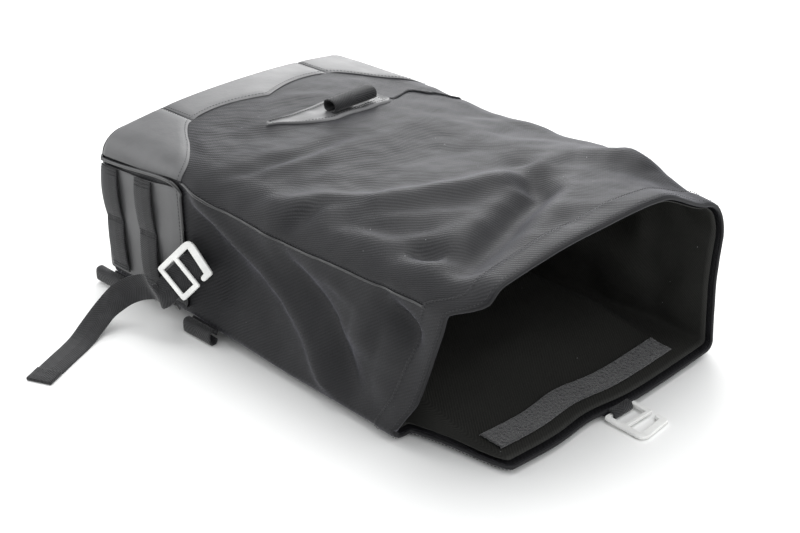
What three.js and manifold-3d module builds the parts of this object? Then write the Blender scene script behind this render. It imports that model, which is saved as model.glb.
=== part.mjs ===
// A roll-top pannier bag that lies on its back with its mouth open.
// Millimetres, +Z up. X runs from the base end (-X) to the mouth (+X), Y across the width.
import * as THREE from "three";
import { LoftGeometry } from "three/addons/geometries/LoftGeometry.js";
import { mergeVertices } from "three/addons/utils/BufferGeometryUtils.js";
import Module from "manifold-3d";

const wasm = await Module();
wasm.setup();

// ---------------------------------------------------------------- driving dimensions

const GAP = 0.3; // clearance between pieces that touch
const LAY = 0.9; // clearance under a sheet that lies on a curved surface
const BAG_WIDTH = 304;
const BODY_LENGTH = 474; // base end to lip, along the back
const CANVAS = 2.4; // wall of the canvas shell with its backing
const LINER = 0.9;
const BOARD = 2.5; // stiffener sheets
const SKIN = 1.4; // coated outer panels
const WEBBING = 1.6;
const STRIP_WIDTH = 25; // webbing on the sides, the free strap and the hook tab
const LOOP_WIDTH = 38;
const STAND_OFF = 20; // height of the rack hardware under the back
const BASE_RADIUS = 26; // rounding where the walls meet the base end
const BASE_CROWN = 10; // how far the base end bulges
const SHOULDER = 30; // horizontal radius of the two front shoulders
const BOOT_LENGTH = 119; // length of the coated side panels
const BOARD_WIDTH = 224;
const BOARD_SHORT = 148; // from the back board's upper edge to the lip
const PIPING_RADIUS = 1.7;
const HEM_DEPTH = 24;

// Share of the length at a distance past the boot's end.
const pastBoot = (distance) => (BOOT_LENGTH + distance) / BODY_LENGTH;
// Along the body: [share of the length, height of the side seam, height of the shoulder]
const SEAM_AND_SHOULDER = [
  [0, 124, 151],
  [0.48 * pastBoot(-0.5), 135, 156],
  [pastBoot(-0.5), 147, 161],
  [pastBoot(51.5), 140, 163],
  [0.55, 138, 165],
  [0.72, 141, 168],
  [0.88, 144, 174],
  [1, 138, 178],
];
const FRONT_CROWN = 8; // rise of the front's middle above its shoulders
// Along the body: [share of the length, height of the back edge, inward pinch of the sides]
const EDGE_AND_PINCH = [
  [0, 13, 0],
  [pastBoot(-0.5), 13, 1],
  [pastBoot(37.5), 8, 13],
  [0.55, 5, 9],
  [0.8, 4.8, 5],
  [1, 4.8, 4],
];
const BACK_DROP = { from: 114, over: 95 }; // the back comes down to the ground this far from the lip
const LIP_DROOP = 22; // how much lower the lip's far end hangs than its middle
const BACK_CORNER = 10; // radius where the sides meet the back
const SHORT_SIDE = 78; // how far the near side is drawn back at the mouth

// Rack hardware
const RAIL = { x: BODY_LENGTH - 188, width: 26, length: 210, thickness: 3.4 };
const HOOK = { width: 24, length: 38, throat: 9.6, wall: 3.2, spread: 75, back: 6 };
const LATCH = { width: 11, thickness: 2.4, pin: 1.1, clearance: 0.25 };
const LOWER_RAIL = { x: 92, width: 22, length: 150, thickness: 3.4 };
const SCREW = { radius: 2, head: 3.6, headHeight: 1.6 };

// G-hooks: a flat buckle with two slots, the second one open
const G_HOOK = { length: 42, width: 38, thickness: 3.2, bar: 4, beam: 5, arm: 7, gap: 5 };

// ---------------------------------------------------------------- helpers

const V = (x, y, z) => new THREE.Vector3(x, y, z);
const steps = (count, from = 0, to = 1) =>
  Array.from({ length: count + 1 }, (_, i) => from + ((to - from) * i) / count);
const smooth = (t) => THREE.MathUtils.smoothstep(t, 0, 1);

// Value of one column of a profile table at a share of the length.
function profile(table, column, share) {
  const t = THREE.MathUtils.clamp(share, 0, 1);
  let k = 0;
  while (k < table.length - 2 && t > table[k + 1][0]) k += 1;
  const [a, b] = [table[k], table[k + 1]];
  const between = smooth((t - a[0]) / (b[0] - a[0]));
  return THREE.MathUtils.lerp(a[column], b[column], between);
}

// How a loft's end is closed. A fan meets in the middle of a round section; a ladder joins the two
// long sides of a thin one, whose points run along one side and back along the other.
const caps = {
  none: () => ({ extra: [], faces: [] }),
  fan: (row) => {
    const middle = row.reduce((sum, p) => sum.add(p), V()).divideScalar(row.length);
    return { extra: [middle], faces: row.map((_, i) => [i, (i + 1) % row.length, row.length]) };
  },
  ladder: (row) => {
    const last = row.length - 1;
    const faces = row.slice(0, row.length / 2 - 1).flatMap((_, i) => [
      [i, i + 1, last - i - 1],
      [i, last - i - 1, last - i],
    ]);
    return { extra: [], faces };
  },
};

// A closed loft whose faces point out.
function loft(sections, cap = "ladder") {
  const points = new LoftGeometry(sections);
  const at = [...points.getAttribute("position").array];
  const order = [...points.index.array];
  for (const [row, isEnd] of [[sections[0], false], [sections.at(-1), true]]) {
    const { extra, faces } = caps[cap](row);
    const base = at.length / 3;
    for (const p of [...row, ...extra]) at.push(p.x, p.y, p.z);
    for (const face of faces) order.push(...(isEnd ? face : [...face].reverse()).map((i) => base + i));
  }
  const open = new THREE.BufferGeometry();
  open.setAttribute("position", new THREE.Float32BufferAttribute(at, 3));
  open.setIndex(order);
  const merged = mergeVertices(open, 1e-3);
  if (volume(merged) < 0) merged.setIndex([...merged.index.array].reverse());
  merged.computeVertexNormals();
  return merged;
}

function volume(geometry) {
  const at = geometry.getAttribute("position");
  const order = geometry.index;
  const [a, b, c] = [V(), V(), V()];
  let sum = 0;
  for (let i = 0; i < order.count; i += 3) {
    a.fromBufferAttribute(at, order.getX(i));
    b.fromBufferAttribute(at, order.getX(i + 1));
    c.fromBufferAttribute(at, order.getX(i + 2));
    sum += a.dot(b.cross(c));
  }
  return sum;
}

function toSolid(geometry) {
  const bare = geometry.index ? geometry.clone() : mergeVertices(geometry.clone());
  bare.deleteAttribute("normal");
  bare.deleteAttribute("uv");
  const merged = mergeVertices(bare, 1e-3);
  const mesh = new wasm.Mesh({
    numProp: 3,
    vertProperties: new Float32Array(merged.attributes.position.array),
    triVerts: new Uint32Array(merged.index.array),
  });
  return new wasm.Manifold(mesh);
}

function fromSolid(solid) {
  const mesh = solid.getMesh();
  const geometry = new THREE.BufferGeometry();
  geometry.setAttribute("position", new THREE.BufferAttribute(mesh.vertProperties, 3));
  geometry.setIndex(new THREE.BufferAttribute(mesh.triVerts, 1));
  geometry.computeVertexNormals();
  return geometry;
}

// joined: pieces that make the body; cut: tools taken away from it
function carve(joined, cut = []) {
  let solid = toSolid(joined[0]);
  for (const piece of joined.slice(1)) solid = solid.add(toSolid(piece));
  for (const tool of cut) solid = solid.subtract(toSolid(tool));
  return fromSolid(solid);
}

function block(low, high) {
  const size = V(...high).sub(V(...low));
  const middle = V(...high).add(V(...low)).multiplyScalar(0.5);
  return new THREE.BoxGeometry(size.x, size.y, size.z).translate(middle.x, middle.y, middle.z);
}

// A cylinder along Y or Z about a centre.
function rod(axis, centre, radius, length, sides = 20) {
  const geometry = new THREE.CylinderGeometry(radius, radius, length, sides);
  if (axis === "z") geometry.rotateX(Math.PI / 2);
  return geometry.translate(centre.x, centre.y, centre.z);
}

const finishes = {
  canvas: { color: 0x3a3a40, roughness: 0.95 },
  coated: { color: 0x55565a, roughness: 0.45 },
  lining: { color: 0x232326, roughness: 0.8 },
  webbing: { color: 0x1c1c1e, roughness: 0.85 },
  piping: { color: 0x101012, roughness: 0.35 },
  grip_strip: { color: 0x2b2b2f, roughness: 1 },
  tan_patch: { color: 0x8a7a55, roughness: 0.7 },
  white_metal: { color: 0xf2f2ee, roughness: 0.4, metalness: 0.1 },
  plastic: { color: 0x18191b, roughness: 0.5 },
  board: { color: 0x2a2a2c, roughness: 0.7 },
  steel: { color: 0x9a9c9f, roughness: 0.35, metalness: 1 },
};
const materials = Object.fromEntries(
  Object.entries(finishes).map(([slot, look]) => [slot, new THREE.MeshStandardMaterial(look)]),
);

const bag = new THREE.Group();
const onTheStrap = new THREE.Group(); // the free strap and what is on it

function add(name, geometry, slot, group = bag) {
  const mesh = new THREE.Mesh(geometry, materials[slot]);
  mesh.name = name;
  group.add(mesh);
  return mesh;
}

// ---------------------------------------------------------------- the bag's surface

// around runs 0..8: near side, near shoulder, front, far shoulder, far side, far back corner,
// back, near back corner. The section is taken `inset` inside the outer surface.
const NEAR_SIDE = 0;
const NEAR_SEAM = 1;
const FRONT = 2;
const FAR_SHOULDER = 3;
const FAR_SEAM = 4;
const FAR_BACK_CORNER = 5;
const BACK = 6;
const NEAR_BACK_CORNER = 7;

function sectionPoint(share, around, inset, floor) {
  const seam = profile(SEAM_AND_SHOULDER, 1, share);
  const shoulder = profile(SEAM_AND_SHOULDER, 2, share);
  const edge = profile(EDGE_AND_PINCH, 1, share);
  const pinch = profile(EDGE_AND_PINCH, 2, share);
  const side = BAG_WIDTH / 2 - inset;
  const corner = Math.max(BACK_CORNER - inset, 0.6);
  const [across, rise] = [Math.max(SHOULDER - inset, 0.6), Math.max(shoulder - seam - inset, 0.6)];
  const low = edge + floor;
  const part = Math.min(Math.floor(around), 7);
  const t = around - part;
  const turn = (t * Math.PI) / 2;
  const sideAt = (height) => {
    const k = THREE.MathUtils.clamp((height - edge) / (seam - edge), 0, 1);
    return side - pinch * Math.sin(Math.PI * k);
  };
  if (part === NEAR_SIDE || part === FAR_SEAM) {
    const height = THREE.MathUtils.lerp(low + corner, seam, part === NEAR_SIDE ? t : 1 - t);
    return [part === NEAR_SIDE ? -sideAt(height) : sideAt(height), height];
  }
  if (part === NEAR_SEAM) return [-side + across * (1 - Math.cos(turn)), seam + rise * Math.sin(turn)];
  if (part === FAR_SHOULDER) return [side - across * (1 - Math.sin(turn)), seam + rise * Math.cos(turn)];
  if (part === FRONT) {
    const crown = FRONT_CROWN * (1 - (2 * t - 1) ** 2);
    return [THREE.MathUtils.lerp(-side + across, side - across, t), seam + rise + crown];
  }
  const start = sideAt(low + corner);
  if (part === FAR_BACK_CORNER) {
    return [start - corner * (1 - Math.cos(turn)), low + corner * (1 - Math.sin(turn))];
  }
  if (part === NEAR_BACK_CORNER) {
    return [-start + corner * (1 - Math.sin(turn)), low + corner * (1 - Math.cos(turn))];
  }
  const y = THREE.MathUtils.lerp(start - corner, corner - start, t);
  const dropped = smooth((share * BODY_LENGTH - BODY_LENGTH + BACK_DROP.from) / BACK_DROP.over);
  const over = smooth(share / 0.07) * (1 - dropped);
  const raised = Math.max(STAND_OFF - edge, 0) * over;
  const lift = raised * (1 - smooth((Math.abs(y) - BOARD_WIDTH / 2) / 16));
  return [y, low + lift];
}

// Share of the length where the rim stands, around the mouth: it is drawn back low on the near side.
function rim(around) {
  const upTheSide = smooth(1 - around);
  const underneath = smooth((around - BACK - 0.86) / 0.14);
  return 1 - (SHORT_SIDE / BODY_LENGTH) * (around < FRONT ? upTheSide : underneath);
}

function lipDroop(share, y, z) {
  const nearLip = smooth((share - 0.8) / 0.2);
  return LIP_DROOP * nearLip * smooth((y - 60) / 70) * THREE.MathUtils.clamp((z - 60) / 80, 0, 1);
}

// along: -1 is the middle of the base end, 0 its edge, 1 the end of the rounding, 2 the rim.
function bagPoint(along, around, inset = 0, { floor = inset, end = inset, crown = BASE_CROWN } = {}) {
  if (along >= 1) {
    const x = BASE_RADIUS + (along - 1) * (BODY_LENGTH * rim(around) - BASE_RADIUS);
    const [y, z] = sectionPoint(x / BODY_LENGTH, around, inset, floor);
    return V(x, y, z - lipDroop(x / BODY_LENGTH, y, z));
  }
  const turn = (Math.max(along, 0) * Math.PI) / 2;
  const x = BASE_RADIUS - (BASE_RADIUS - end) * Math.cos(turn);
  const at = (value) => BASE_RADIUS - (BASE_RADIUS - value) * Math.sin(turn);
  const [y, z] = sectionPoint(x / BODY_LENGTH, around, at(inset), at(floor));
  if (along >= 0) return V(x, y, z);
  const size = 1 + along;
  const middle = (profile(SEAM_AND_SHOULDER, 1, 0) + STAND_OFF) / 2;
  return V(x - crown * (1 - size * size), y * size, middle + (z - middle) * size);
}

// `along` for a given distance from the base end.
const alongAt = (x, around) =>
  x < BASE_RADIUS
    ? Math.acos(1 - x / BASE_RADIUS) / (Math.PI / 2)
    : 1 + (x - BASE_RADIUS) / (BODY_LENGTH * rim(around) - BASE_RADIUS);

// Steps across the back crowd beside the board's two edges, as shares from the middle.
const boardSteps = [21.5, 10.1, -4.1, -15.4].map(
  (beyond) => (BOARD_WIDTH / 2 + beyond) / (BAG_WIDTH - 2 * BACK_CORNER),
);
const AROUND = [
  ...steps(5, 0, 1).slice(0, -1),
  ...steps(5, 1, 2).slice(0, -1),
  ...steps(10, 2, 3).slice(0, -1),
  ...steps(5, 3, 4).slice(0, -1),
  ...steps(5, 4, 5).slice(0, -1),
  ...steps(2, 5, 6).slice(0, -1),
  BACK,
  ...boardSteps.map((t) => BACK + 0.5 - t),
  BACK + 0.35,
  BACK + 0.65,
  ...boardSteps.map((t) => BACK + 0.5 + t).reverse(),
  ...steps(2, 7, 8).slice(0, -1),
];
const HEM_START = 2 - HEM_DEPTH / (BODY_LENGTH - BASE_RADIUS);
const ALONG = [-0.92, -0.5, 0, 0.35, 0.7, ...steps(10, 1, HEM_START), 2];

const ring = (along, inset, options) => AROUND.map((u) => bagPoint(along, u, inset, options));

// A shell between two insets, closed at the base and open at the mouth.
function shell(first, second, firstShape, secondShape, end = 2) {
  const rows = ALONG.filter((k) => k < end).concat(end);
  const there = rows.map((k) => ring(k, first, firstShape));
  const back = [...rows].reverse().map((k) => ring(k, second, secondShape));
  return loft([...there, ...back], "fan");
}

// A slab that follows the surface between two insets, from one `along` to another at each `around`.
function skin(arounds, from, to, inside, outside, count = 8, options = {}) {
  const sections = arounds.map((u) => {
    const rows = steps(count, from(u), to(u));
    const top = rows.map((k) => bagPoint(k, u, outside, options));
    const under = [...rows].reverse().map((k) => bagPoint(k, u, inside, options));
    return [...top, ...under];
  });
  return loft(sections);
}

// ---------------------------------------------------------------- shell, liner and stiffeners

const LINER_END = 1.985;
const linerInset = CANVAS + LAY;
const linerFloor = linerInset + BOARD + LAY;
const linerShape = { floor: linerFloor, end: linerFloor, crown: 0 };
const linerInner = { floor: linerFloor + LINER, end: linerFloor + LINER, crown: 0 };

add("canvas_body", shell(0, CANVAS), "canvas");
add("inner_liner", shell(linerInset + LINER, linerInset, linerInner, linerShape, LINER_END), "lining");

const backBoardZ = STAND_OFF + CANVAS + GAP;
const backBoardEdge = BOARD_WIDTH / 2 - 9;
const boardMargin = 10; // from a board's edge to the wall
add(
  "back_board",
  block(
    [BASE_RADIUS + boardMargin, -backBoardEdge, backBoardZ],
    [BODY_LENGTH - BOARD_SHORT, backBoardEdge, backBoardZ + BOARD],
  ),
  "board",
);

const baseBoardLow = backBoardZ + BASE_RADIUS;
const baseBoardHigh = profile(SEAM_AND_SHOULDER, 1, 0) - BASE_RADIUS / 2;
add(
  "base_board",
  block(
    [CANVAS + GAP, -BAG_WIDTH / 2 + BASE_RADIUS + boardMargin, baseBoardLow],
    [CANVAS + GAP + BOARD, BAG_WIDTH / 2 - BASE_RADIUS - boardMargin, baseBoardHigh],
  ),
  "board",
);

// ---------------------------------------------------------------- coated outer panels

const panelIn = -LAY;
const panelOut = panelIn - SKIN;
const seamGap = 0.045; // share of a face left free beside a seam for its piping

// Distance from the base end to the front panel's upper edge, across the width.
const MIDDLE_REACH = 60;
const DIP = 14;
function panelReach(around) {
  const y = Math.abs(bagPoint(1, around).y) / (BAG_WIDTH / 2);
  const dip = DIP * Math.sin(Math.PI * Math.min(y / 0.75, 1));
  return MIDDLE_REACH - dip + (BOOT_LENGTH - MIDDLE_REACH) * smooth((y - 0.55) / 0.45);
}
const panelEnd = (u) => alongAt(panelReach(u), u);
const baseEdge = 0.3;
const cornerSeam = 0.16; // where the corner pieces are sewn to the middle, as a share of the front

const cornerStart = NEAR_SEAM + 0.14; // clear of the piping
const nearCorner = [cornerStart, ...steps(4, NEAR_SEAM + 0.2, FRONT), FRONT + cornerSeam / 2, FRONT + cornerSeam - 0.004];
const farCorner = nearCorner.map((u) => 2 * (FRONT + 0.5) - u).reverse();
const middleFront = steps(8, FRONT + cornerSeam + 0.004, FAR_SHOULDER - cornerSeam - 0.004);
const frontPanels = {
  front_corner_near: nearCorner,
  front_lower_panel: middleFront,
  front_corner_far: farCorner,
};
for (const [name, arounds] of Object.entries(frontPanels)) {
  add(name, skin(arounds, () => baseEdge, panelEnd, panelIn, panelOut, 6), "coated");
}

// Skin over the base end, up to the seam round its edge.
const baseRows = [-0.92, -0.5, 0, baseEdge - 0.06];
add(
  "base_panel",
  loft([
    ...baseRows.map((k) => ring(k, panelIn)),
    ...[...baseRows].reverse().map((k) => ring(k, panelOut)),
  ], "fan"),
  "coated",
);

const boot = (u) => alongAt(BOOT_LENGTH, u);
const bootEnd = (u) => boot(u) - 0.012;
const sides = { near: [NEAR_SIDE, 1], far: [FAR_SEAM, -1] };
// A place on a side: 0 at its back edge and 1 at its front seam.
const onSide = (side, share) => sides[side][0] + (side === "near" ? share : 1 - share);
const sideSteps = (side, count, low, high) => steps(count, low, high).map((k) => onSide(side, k));

const STRIP_LAY = 1.3;
const STRIP_PLACES = { front: 66, rear: 17 }; // near edge of each strip from the base end
for (const side of ["near", "far"]) {
  const whole = sideSteps(side, 5, 0.02, 1 - seamGap);
  add(`side_panel_${side}`, skin(whole, () => baseEdge + 0.06, bootEnd, panelIn, panelOut, 6), "coated");

  // Piping runs up the panel's mouth edge, along the front seam and down the base edge.
  const pipe = -GAP - PIPING_RADIUS;
  const base = baseEdge;
  const path = [
    ...steps(6, 0.02, 0.95).map((k) => bagPoint(boot(onSide(side, k)), onSide(side, k), pipe)),
    ...steps(6, 0.96, 0.04).map((k) => {
      const u = onSide(side, 1);
      return bagPoint(THREE.MathUtils.lerp(base, boot(u), k), u, pipe);
    }),
    ...steps(5, 0.95, 0.04).map((k) => bagPoint(base, onSide(side, k), pipe)),
  ];
  const section = new THREE.Shape().absarc(0, 0, PIPING_RADIUS, 0, 2 * Math.PI);
  const curve = new THREE.CatmullRomCurve3(path, false, "centripetal");
  const cord = new THREE.ExtrudeGeometry(section, { extrudePath: curve, steps: 36, curveSegments: 4 });
  add(`side_piping_${side}`, cord, "piping");

  // Two webbing strips, sewn flat at their ends and proud of the panel in between.
  for (const [place, start] of Object.entries(STRIP_PLACES)) {
    const low = 0.06;
    const high = 1 - seamGap - 0.03;
    const rows = steps(12, low, high).map((k) => {
      const u = onSide(side, k);
      const proud = 2.6 * Math.abs(Math.sin((Math.PI * 2 * (k - low)) / (high - low)));
      const inside = panelOut - STRIP_LAY - proud;
      const outside = inside - WEBBING;
      const [from, to] = [alongAt(start, u), alongAt(start + STRIP_WIDTH, u)];
      return [
        bagPoint(from, u, inside),
        bagPoint(from, u, outside),
        bagPoint(to, u, outside),
        bagPoint(to, u, inside),
      ];
    });
    add(`side_strip_${side}_${place}`, loft(rows), "webbing");
  }
}

// ---------------------------------------------------------------- pocket, patch and light loop

const POCKET = { from: 82, to: 136 }; // across the bag, past the patch
// Share of the way across, distance of the pocket's mouth from the base end.
const POCKET_EDGE = [
  [0, 139],
  [0.5, 131],
  [0.78, 149],
  [1, 173],
];
const BINDING = { width: 5, thickness: 1.8 };
const pocketReach = (u) =>
  profile(POCKET_EDGE, 1, (bagPoint(1, u).y - POCKET.from) / (POCKET.to - POCKET.from));
const bindingStart = (u) => alongAt(pocketReach(u), u);
const bindingEnd = (u) => alongAt(pocketReach(u) + BINDING.width, u);
const bindingRun = [...steps(6, FRONT + 0.84, FAR_SHOULDER), FAR_SHOULDER + 0.2, FAR_SHOULDER + 0.35];
add(
  "pocket_binding",
  skin(bindingRun, bindingStart, bindingEnd, panelIn, panelIn - BINDING.thickness, 2),
  "piping",
);

// Height of the front's outer surface, inset zero, at a place given by x and y.
function frontHeight(x, y) {
  const half = BAG_WIDTH / 2 - SHOULDER;
  const t = THREE.MathUtils.clamp((y + half) / (2 * half), 0, 1);
  return sectionPoint(x / BODY_LENGTH, FRONT + t, 0, 0)[1];
}

// The patch is a long rounded tab that narrows towards the near side along a straight rear edge.
const PATCH = { x: 129, length: 128, width: 40, tip: 7, thickness: 1.6, y: 15 };
const patchRows = steps(10).map((t) => {
  const y = PATCH.y - PATCH.length / 2 + PATCH.length * t;
  const end = Math.min(1, Math.sqrt(Math.max(1 - ((t - 0.93) / 0.07) ** 2, 0.25)));
  const half = (PATCH.tip + (PATCH.width - PATCH.tip) * smooth(t / 0.45)) / 2;
  const reach = half * (t > 0.93 ? end : 1);
  const across = [-reach, 0, reach];
  const middle = PATCH.x - ((PATCH.width - PATCH.tip) / 2) * (1 - smooth(t / 0.45));
  const place = (dx, dz) => V(middle + dx, y, frontHeight(middle + dx, y) + dz);
  const top = across.map((dx) => place(dx, LAY + PATCH.thickness));
  return [...top, ...across.reverse().map((dx) => place(dx, LAY))];
});
add("front_patch", loft(patchRows), "coated");

// A webbing tube sewn along one side: its section is a flattened ring with a gap at the seam.
function tunnel(width, height, length, wall, turns = 16) {
  const outline = (shrink) =>
    steps(turns, 0.06, 0.94).map((k) => {
      const angle = -Math.PI / 2 + 2 * Math.PI * k;
      return [(width / 2 - shrink) * Math.cos(angle), (height / 2 - shrink) * (1 + Math.sin(angle))];
    });
  const flat = [...outline(0), ...outline(wall).map(([a, b]) => [a, b + wall]).reverse()];
  return loft([0, 1].map((k) => flat.map(([a, b]) => V(length * (k - 0.5), a, b))));
}

const LIGHT_LOOP = { width: 17, height: 13, length: 52, forward: 4 };
const loopY = PATCH.y + 21;
const loopZ = frontHeight(PATCH.x, loopY) + LAY + PATCH.thickness + 1;
add(
  "front_light_loop",
  tunnel(LIGHT_LOOP.width, LIGHT_LOOP.height, LIGHT_LOOP.length, WEBBING)
    .rotateZ(Math.PI / 2)
    .translate(PATCH.x + LIGHT_LOOP.forward, loopY, loopZ),
  "webbing",
);

// ---------------------------------------------------------------- mouth

// A band right round the outside of the rim.
const HEM = 1.4;
const hemRows = [ring(HEM_START, -LAY), ring(2, -LAY), ring(2, -LAY - HEM), ring(HEM_START, -LAY - HEM)];
add("mouth_hem", loft([...hemRows, hemRows[0]], "none"), "canvas");

const GRIP = { depth: 24, thickness: 1.5, margin: 5 };
const gripEnd = (u) => alongAt(BODY_LENGTH * rim(u) - BODY_LENGTH * 0.02 - GRIP.margin, u);
const gripStart = (u) => gripEnd(u) - GRIP.depth / (BODY_LENGTH - BASE_RADIUS);
const lowerGripFloor = linerFloor + LINER + 2.6 * LAY;
const lowerGrip = skin(
  steps(8, BACK + 0.12, BACK + 0.5).concat(BACK + 0.62, BACK + 0.74, BACK + 0.86),
  gripStart,
  gripEnd,
  lowerGripFloor + GRIP.thickness,
  lowerGripFloor,
  3,
);
add("grip_strip_lower", lowerGrip, "grip_strip");
const upperGripInset = linerInset + LINER + LAY;
const upperGrip = skin(
  steps(8, FRONT + 0.1, FAR_SHOULDER - 0.1),
  gripStart,
  gripEnd,
  upperGripInset + GRIP.thickness,
  upperGripInset,
  3,
);
add("grip_strip_upper", upperGrip, "grip_strip");

// A tab that hangs inside, below the upper lip.
const INNER_TAB = { length: 78, drop: 17, thickness: 1.2, y: -42, x: 428 };
const tabRows = steps(6, -0.5, 0.5).map((k) => {
  const y = INNER_TAB.y + INNER_TAB.length * k;
  const top = frontHeight(INNER_TAB.x, y) - upperGripInset - LAY;
  const [from, to] = [INNER_TAB.x, INNER_TAB.x + INNER_TAB.thickness];
  return [V(from, y, top - INNER_TAB.drop), V(to, y, top - INNER_TAB.drop), V(to, y, top), V(from, y, top)];
});
add("inner_tab", loft(tabRows), "tan_patch");

// ---------------------------------------------------------------- G-hooks

// In the hook's own plane: +X away from the end bar, Y along the bars, Z through it.
function gHook({ length, width, thickness, bar, beam, arm, gap }) {
  const [half, slant] = [width / 2, 3];
  const outline = new THREE.Shape();
  const middle = length * 0.42;
  outline.moveTo(0, -half + 3);
  outline.quadraticCurveTo(0, -half, 3, -half);
  outline.lineTo(length - 8, -half);
  outline.quadraticCurveTo(length, -half, length, -half + 8);
  outline.lineTo(length - slant, half - 3);
  outline.quadraticCurveTo(length - slant, half, length - slant - 3, half);
  outline.lineTo(middle + bar + gap + 3, half);
  outline.absarc(middle + bar + gap + 2.6, half - 2.6, 2.6, Math.PI / 2, 1.5 * Math.PI, false);
  outline.lineTo(length - arm - slant, half - beam - 0.6);
  outline.lineTo(length - arm, -half + beam + 1);
  outline.lineTo(middle + bar, -half + beam + 1);
  outline.lineTo(middle + bar, half - 2);
  outline.quadraticCurveTo(middle + bar, half, middle + bar - 2, half);
  outline.lineTo(3, half);
  outline.quadraticCurveTo(0, half, 0, half - 3);
  const slot = new THREE.Path();
  slot.moveTo(bar, -half + beam);
  slot.lineTo(bar, half - beam);
  slot.lineTo(middle, half - beam);
  slot.lineTo(middle, -half + beam);
  outline.holes.push(slot);
  const round = 0.6;
  return new THREE.ExtrudeGeometry(outline, {
    depth: thickness - 2 * round,
    bevelThickness: round,
    bevelSize: round,
    bevelOffset: -round,
    bevelSegments: 1,
    curveSegments: 4,
  }).translate(0, 0, round - thickness / 2);
}

// The near side's hook lies against the side on its strap.
const HOOK_PLACE = V(BOOT_LENGTH + 5, -BAG_WIDTH / 2 - 22, 57); // middle of its end bar
const hookOut = V(0.4, -0.85, 0.33).normalize();
const hookBar = V(0.777, 0.127, -0.617);
hookBar.addScaledVector(hookOut, -hookBar.dot(hookOut)).normalize();
const hookUp = V().crossVectors(hookOut, hookBar).normalize();
const hookIn = hookOut.clone().negate();
const sideHook = gHook(G_HOOK);
sideHook.applyMatrix4(new THREE.Matrix4().makeBasis(hookUp, hookBar, hookIn).setPosition(HOOK_PLACE));
add("side_g_hook", sideHook, "white_metal", onTheStrap);

// The mouth's hook lies on the ground just outside the lip, its end bar on the tab that holds it.
const MOUTH_HOOK = { x: BODY_LENGTH + 4.5, y: 16, z: 4.6 };
const mouthHook = gHook(G_HOOK).rotateY(Math.asin((MOUTH_HOOK.z - G_HOOK.thickness / 2 - 0.4) / G_HOOK.length));
mouthHook.translate(MOUTH_HOOK.x, MOUTH_HOOK.y, MOUTH_HOOK.z);
add("mouth_g_hook", mouthHook, "white_metal");

// ---------------------------------------------------------------- webbing

// A flat strap along a route: each place gives the middle and the direction of its width.
function strap(places, width, thickness, count) {
  const route = new THREE.CatmullRomCurve3(places.map(([at]) => at), false, "centripetal");
  const sides = new THREE.CatmullRomCurve3(places.map(([, side]) => side), false, "centripetal");
  const rows = steps(count).map((t) => {
    const at = route.getPoint(t);
    const along = route.getTangent(t);
    const side = sides.getPoint(t);
    side.addScaledVector(along, -side.dot(along)).normalize();
    const up = V().crossVectors(along, side);
    const corner = (a, b) =>
      at.clone().addScaledVector(side, (a * width) / 2).addScaledVector(up, (b * thickness) / 2);
    return [corner(-1, -1), corner(1, -1), corner(1, 1), corner(-1, 1)];
  });
  return loft(rows);
}

// The free strap leaves the near side panel, passes under the hook, turns back and ends on the ground.
const underHook = G_HOOK.thickness / 2 + WEBBING / 2 + GAP + 0.2;
const onHook = (up, depth) =>
  HOOK_PLACE.clone().addScaledVector(hookUp, up).addScaledVector(hookOut, -depth);
const LAYERS = 3.6; // between the strap's two layers under the hook
const ground = WEBBING / 2 + 0.3;
const floorSide = V(0.9, 0.43, 0);
const STRAP_ROUTE = [
  [V(103, -158, 27), hookBar],
  [V(108, -164.5, 36), hookBar],
  [onHook(-12, underHook + LAYERS + 1), hookBar],
  [onHook(0, underHook + LAYERS), hookBar],
  [onHook(14, underHook + LAYERS), hookBar],
  [onHook(29, underHook + LAYERS), hookBar],
  [onHook(32.6, underHook + LAYERS / 2), hookBar],
  [onHook(29, underHook), hookBar],
  [onHook(14, underHook), hookBar],
  [onHook(0, underHook), hookBar],
  [onHook(-16, underHook - 1.5), hookBar],
  [V(94, -178, 45), V(0.62, 0.1, -0.78)],
  [V(72, -186, 34), V(0.7, 0.2, -0.68)],
  [V(61, -199, 20), V(0.95, 0.15, -0.25)],
  [V(62, -218, 7.5), V(0.93, 0.35, -0.06)],
  [V(67, -232, 2.4), floorSide],
  [V(73, -245, ground), floorSide],
  [V(83, -267, ground), floorSide],
  [V(91, -284, ground), floorSide],
];
add("side_strap", strap(STRAP_ROUTE, STRIP_WIDTH, WEBBING, 76), "webbing", onTheStrap);

// Its end is folded back on itself and sewn.
const TAIL_FOLD = { length: 20, thickness: 3.2 };
const tailEnd = STRAP_ROUTE.at(-1)[0];
const tailWay = tailEnd.clone().sub(STRAP_ROUTE.at(-2)[0]).setZ(0).normalize();
const tailAt = (distance) =>
  tailEnd.clone().addScaledVector(tailWay, distance).setZ(TAIL_FOLD.thickness / 2 + 0.3);
const tailSide = V(-tailWay.y, tailWay.x, 0);
add(
  "side_strap_end",
  strap(
    [
      [tailAt(GAP + 0.1), tailSide],
      [tailAt(TAIL_FOLD.length), tailSide],
    ],
    STRIP_WIDTH,
    TAIL_FOLD.thickness,
    2,
  ),
  "webbing",
  onTheStrap,
);

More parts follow.
